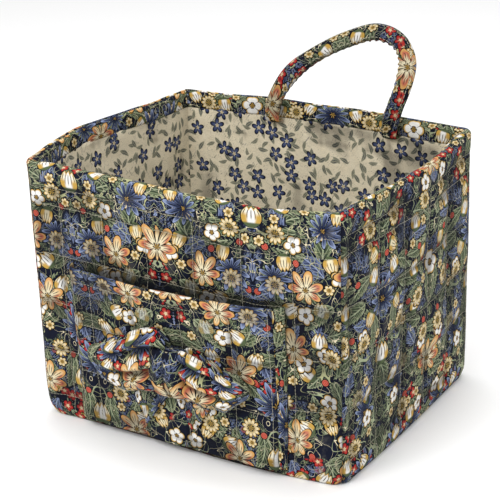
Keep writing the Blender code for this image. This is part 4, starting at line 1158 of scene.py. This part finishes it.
def strap(name, plan, surface, flip, axis, stub, body, nodes, seed):
    """A padded strap: both ends come out of the facing seam, bend at the fold and carry on round the loop."""
    q, dist = resample(catmull(plan, 12), 0.0018)
    total = dist[-1]
    tan = np.gradient(q, axis=0)
    tan /= np.linalg.norm(tan, axis=1, keepdims=True)
    m = 28
    a = 2 * math.pi * (np.arange(m) + 0.5) / m
    ca = np.sign(np.cos(a)) * np.abs(np.cos(a)) ** 0.72
    sa = np.sign(np.sin(a)) * np.abs(np.sin(a)) ** 0.72
    e = np.minimum(dist, total - dist)
    k = smooth(e, 0.0, 0.014)
    thick = 0.0034 + (0.0078 - 0.0034) * k
    inner = np.sign(np.cross(tan[:-1], tan[1:]).sum())        # which side of the strap the loop closes towards
    curv = np.zeros(len(q))
    curv[1:-1] = np.abs(np.arctan2(np.cross(tan[:-2], tan[2:]), (tan[:-2] * tan[2:]).sum(1))) / 0.0036
    curv = np.convolve(curv, np.ones(9) / 9, mode="same")
    rings, uvs, relief_shade = [], [], []
    for i in range(len(q)):
        wx, ws = tan[i][1], -tan[i][0]
        side = -inner * ca                                    # +1 on the loop's inner edge
        gather = np.clip(side, 0, 1) ** 1.3 * k[i] * (0.35 + min(1.0, curv[i] * 0.035))
        wr = (math.sin(dist[i] / 0.0072 * 2 * math.pi + 1.7 * math.sin(dist[i] * 90 + seed)) * 0.00048
              + 0.00022 * math.sin(dist[i] / 0.0041 * 2 * math.pi + seed)) * gather
        wr = wr + 0.0005 * wob(np.full(m, dist[i]), a * 0.004, seed, 0.03) * k[i] - 0.0006 * np.exp(-((side - 1) / 0.12) ** 2) * k[i]
        half = 0.0075 * (0.90 + 0.10 * k[i])
        lw = ca * (half + wr)
        lt = sa * (thick[i] / 2 + wr * 0.9)
        s_here = np.maximum(q[i][1] + ws * lw, 0.0)
        y0, z0, lean = surface(s_here)
        up = 1.0 if flip > 0 else -1.0
        y = flip * (y0 + lt * np.cos(lean))
        z = z0 - lt * np.sin(lean) * up
        rings.append(np.stack([q[i][0] + wx * lw, axis[0] + y, axis[1] + z], -1))
        girth = np.concatenate([[0], np.cumsum(np.abs(np.diff(lw)) + np.abs(np.diff(lt)))])
        uvs.append(np.stack([np.full(m, dist[i]), girth], -1))
        # the relief value follows the wrinkles, painting shade in their valleys
        relief_shade.append(np.clip(0.6 + wr / 0.0016, 0, 1))
    # the flat ends: from the fold into the seam
    def stub_rings(first, x, sgn):
        out = []
        for y, z, tt, nrm_y, nrm_z in stub:
            lt = sa * tt / 2
            lw = ca * 0.0069 * sgn
            out.append(np.stack([x + lw, axis[0] + flip * (y + lt * nrm_y), axis[1] + z + lt * nrm_z], -1))
        return out
    def oriented(ring0, cand):
        best = min(((np.linalg.norm(np.roll(cand[:, ::d], s, 1) - ring0[None], axis=-1).sum(), d, s)
                    for d in (1, -1) for s in range(cand.shape[1])), key=lambda v: v[0])
        return np.roll(cand[:, ::best[1]], best[2], 1)
    s0 = np.stack(stub_rings(True, FEET[0], 1), 0)
    s1 = np.stack(stub_rings(False, FEET[1], 1), 0)
    def match(ring, st):
        n_ = st.shape[0]
        best, bd = None, 1e9
        for d in (1, -1):
            for s in range(m):
                c = np.roll(st[:, ::d], s, axis=1)
                dd = np.linalg.norm(c[-1] - ring, axis=-1).sum()
                if dd < bd:
                    best, bd = c, dd
        return best
    s0, s1 = match(rings[0], s0), match(rings[-1], s1)
    R = np.concatenate([s0, np.stack(rings, 0), s1[::-1]], 0)
    ext = 0.0012
    u0 = np.stack([np.stack([np.full(m, -ext * (len(stub) - i)), uvs[0][:, 1]], -1) for i in range(len(stub))], 0)
    u1 = np.stack([np.stack([np.full(m, total + ext * (i + 1)), uvs[-1][:, 1]], -1) for i in range(len(stub))], 0)
    UV = np.concatenate([u0, np.stack(uvs, 0), u1], 0) + np.array([seed * 1.7, 0.5])
    RG = np.concatenate([np.full((len(stub), m), 0.45), np.stack(relief_shade, 0), np.full((len(stub), m), 0.45)], 0)
    ob = ring_solid(name, R, UV, {"relief_shade": RG})
    # painted shade: the straps take the print at value 0.64 against 0.83 on the walls, a darker copy that stands in for
    # shade on the straps
    ob.data.materials.append(cloth_material("print_" + name, PRINT_GROUP, value=0.64))
    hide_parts(*nodes)
    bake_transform(ob)
    # stitching along both edges
    for sgn in (-1, 1):
        pts, nr = [], []
        for i in range(len(q)):
            if e[i] < 0.008:
                continue
            wx, ws = tan[i][1], -tan[i][0]
            for_side = 1.0
            lw = sgn * 0.0056
            y0, z0, lean = surface(np.array([max(q[i][1] + ws * lw, 0.0)]))
            lt = -(thick[i] / 2 * 0.80)
            up = 1.0 if flip > 0 else -1.0
            pts.append([q[i][0] + wx * lw, axis[0] + flip * (y0[0] + lt * math.cos(lean[0])), axis[1] + z0[0] - lt * math.sin(lean[0]) * up])
            nr.append([0, -flip * math.cos(lean[0]), math.sin(lean[0]) * up])
        stitches(body, pts, nr, length=0.0028, step=0.0037, wide=0.0003)
    return ob


UPSTUB = [(0.0072, 0.0, 0.0024, 0.0, 1.0), (0.0055, 0.0, 0.0026, 0.0, 1.0), (0.0038, 0.0, 0.0028, 0.0, 1.0),
          (0.0024, 0.0001, 0.0030, 0.17, 0.98), (0.0012, 0.0004, 0.0031, 0.5, 0.87), (0.0004, 0.0011, 0.0032, 0.85, 0.5)]
DNSTUB = [(y, -z, t, ny, -nz) for y, z, t, ny, nz in UPSTUB]
strap("back_handle", BACK_LOOP, back_surface, 1, BACK_AXIS, UPSTUB, "back_handle",
      ("back_handle_strap", "back_handle_left_end", "back_handle_right_end"), 3)
strap("front_handle", FRONT_LOOP, front_surface, -1, FRONT_AXIS, DNSTUB, "front_handle",
      ("front_handle_strap", "front_handle_left_end", "front_handle_right_end"), 6)

build_stitches({"back_handle": "back_handle", "front_handle": "front_handle"}, THREAD)

# ------------------------------------------------------------------ floor, light and camera
bpy.ops.mesh.primitive_plane_add(size=6.0, location=(0, 0, 0))
ground = bpy.context.active_object
ground.name = "studio_floor"
gm = bpy.data.materials.new("floor_paper")
gm.use_nodes = True
gb = gm.node_tree.nodes["Principled BSDF"]
gb.inputs["Base Color"].default_value = (0.90, 0.90, 0.90, 1)
gb.inputs["Roughness"].default_value = 0.9
ground.data.materials.append(gm)

world = bpy.data.worlds.new("studio")
bpy.context.scene.world = world
world.use_nodes = True
world.node_tree.nodes["Background"].inputs[0].default_value = (1.0, 1.0, 1.0, 1)
world.node_tree.nodes["Background"].inputs[1].default_value = 0.72


def area(name, loc, target, size, power, colour=(1, 1, 1)):
    li = bpy.data.lights.new(name, "AREA")
    li.shape = "RECTANGLE"
    li.size, li.size_y = size
    li.energy = power
    li.color = colour
    o = bpy.data.objects.new(name, li)
    bpy.context.scene.collection.objects.link(o)
    o.location = loc
    o.rotation_euler = (Vector(target) - Vector(loc)).to_track_quat("-Z", "Y").to_euler()
    return o


area("key_soft", (-0.15, -1.40, 1.25), (0, 0, 0.1), (0.9, 0.8), 20)
area("side_soft", (1.5, -0.3, 0.9), (0, 0, 0.1), (0.8, 0.8), 6)
area("top_soft", (-0.2, 0.4, 1.7), (0, 0, 0.1), (1.2, 1.2), 16)

yaw, pitch, roll = math.radians(31.3296), math.radians(21.3134), math.radians(-1.6588)
d = Vector((-math.sin(yaw) * math.cos(pitch), math.cos(yaw) * math.cos(pitch), -math.sin(pitch)))
r = Vector((math.cos(yaw), math.sin(yaw), 0))
u = r.cross(d)
r2 = r * math.cos(roll) + u * math.sin(roll)
u2 = -r * math.sin(roll) + u * math.cos(roll)
loc = 0.22 * (-d * 6.51184 + r2 * -0.04013 + u2 * 0.54569)
cam = bpy.data.cameras.new("camera")
cam.sensor_width, cam.lens = 36.0, 122.25
cam.clip_start, cam.clip_end = 0.05, 20
co = bpy.data.objects.new("camera", cam)
bpy.context.scene.collection.objects.link(co)
M = Matrix(((r2.x, u2.x, -d.x, loc.x), (r2.y, u2.y, -d.y, loc.y), (r2.z, u2.z, -d.z, loc.z), (0, 0, 0, 1)))
co.matrix_world = M
bpy.context.scene.camera = co
bpy.context.scene.view_settings.view_transform = "Standard"
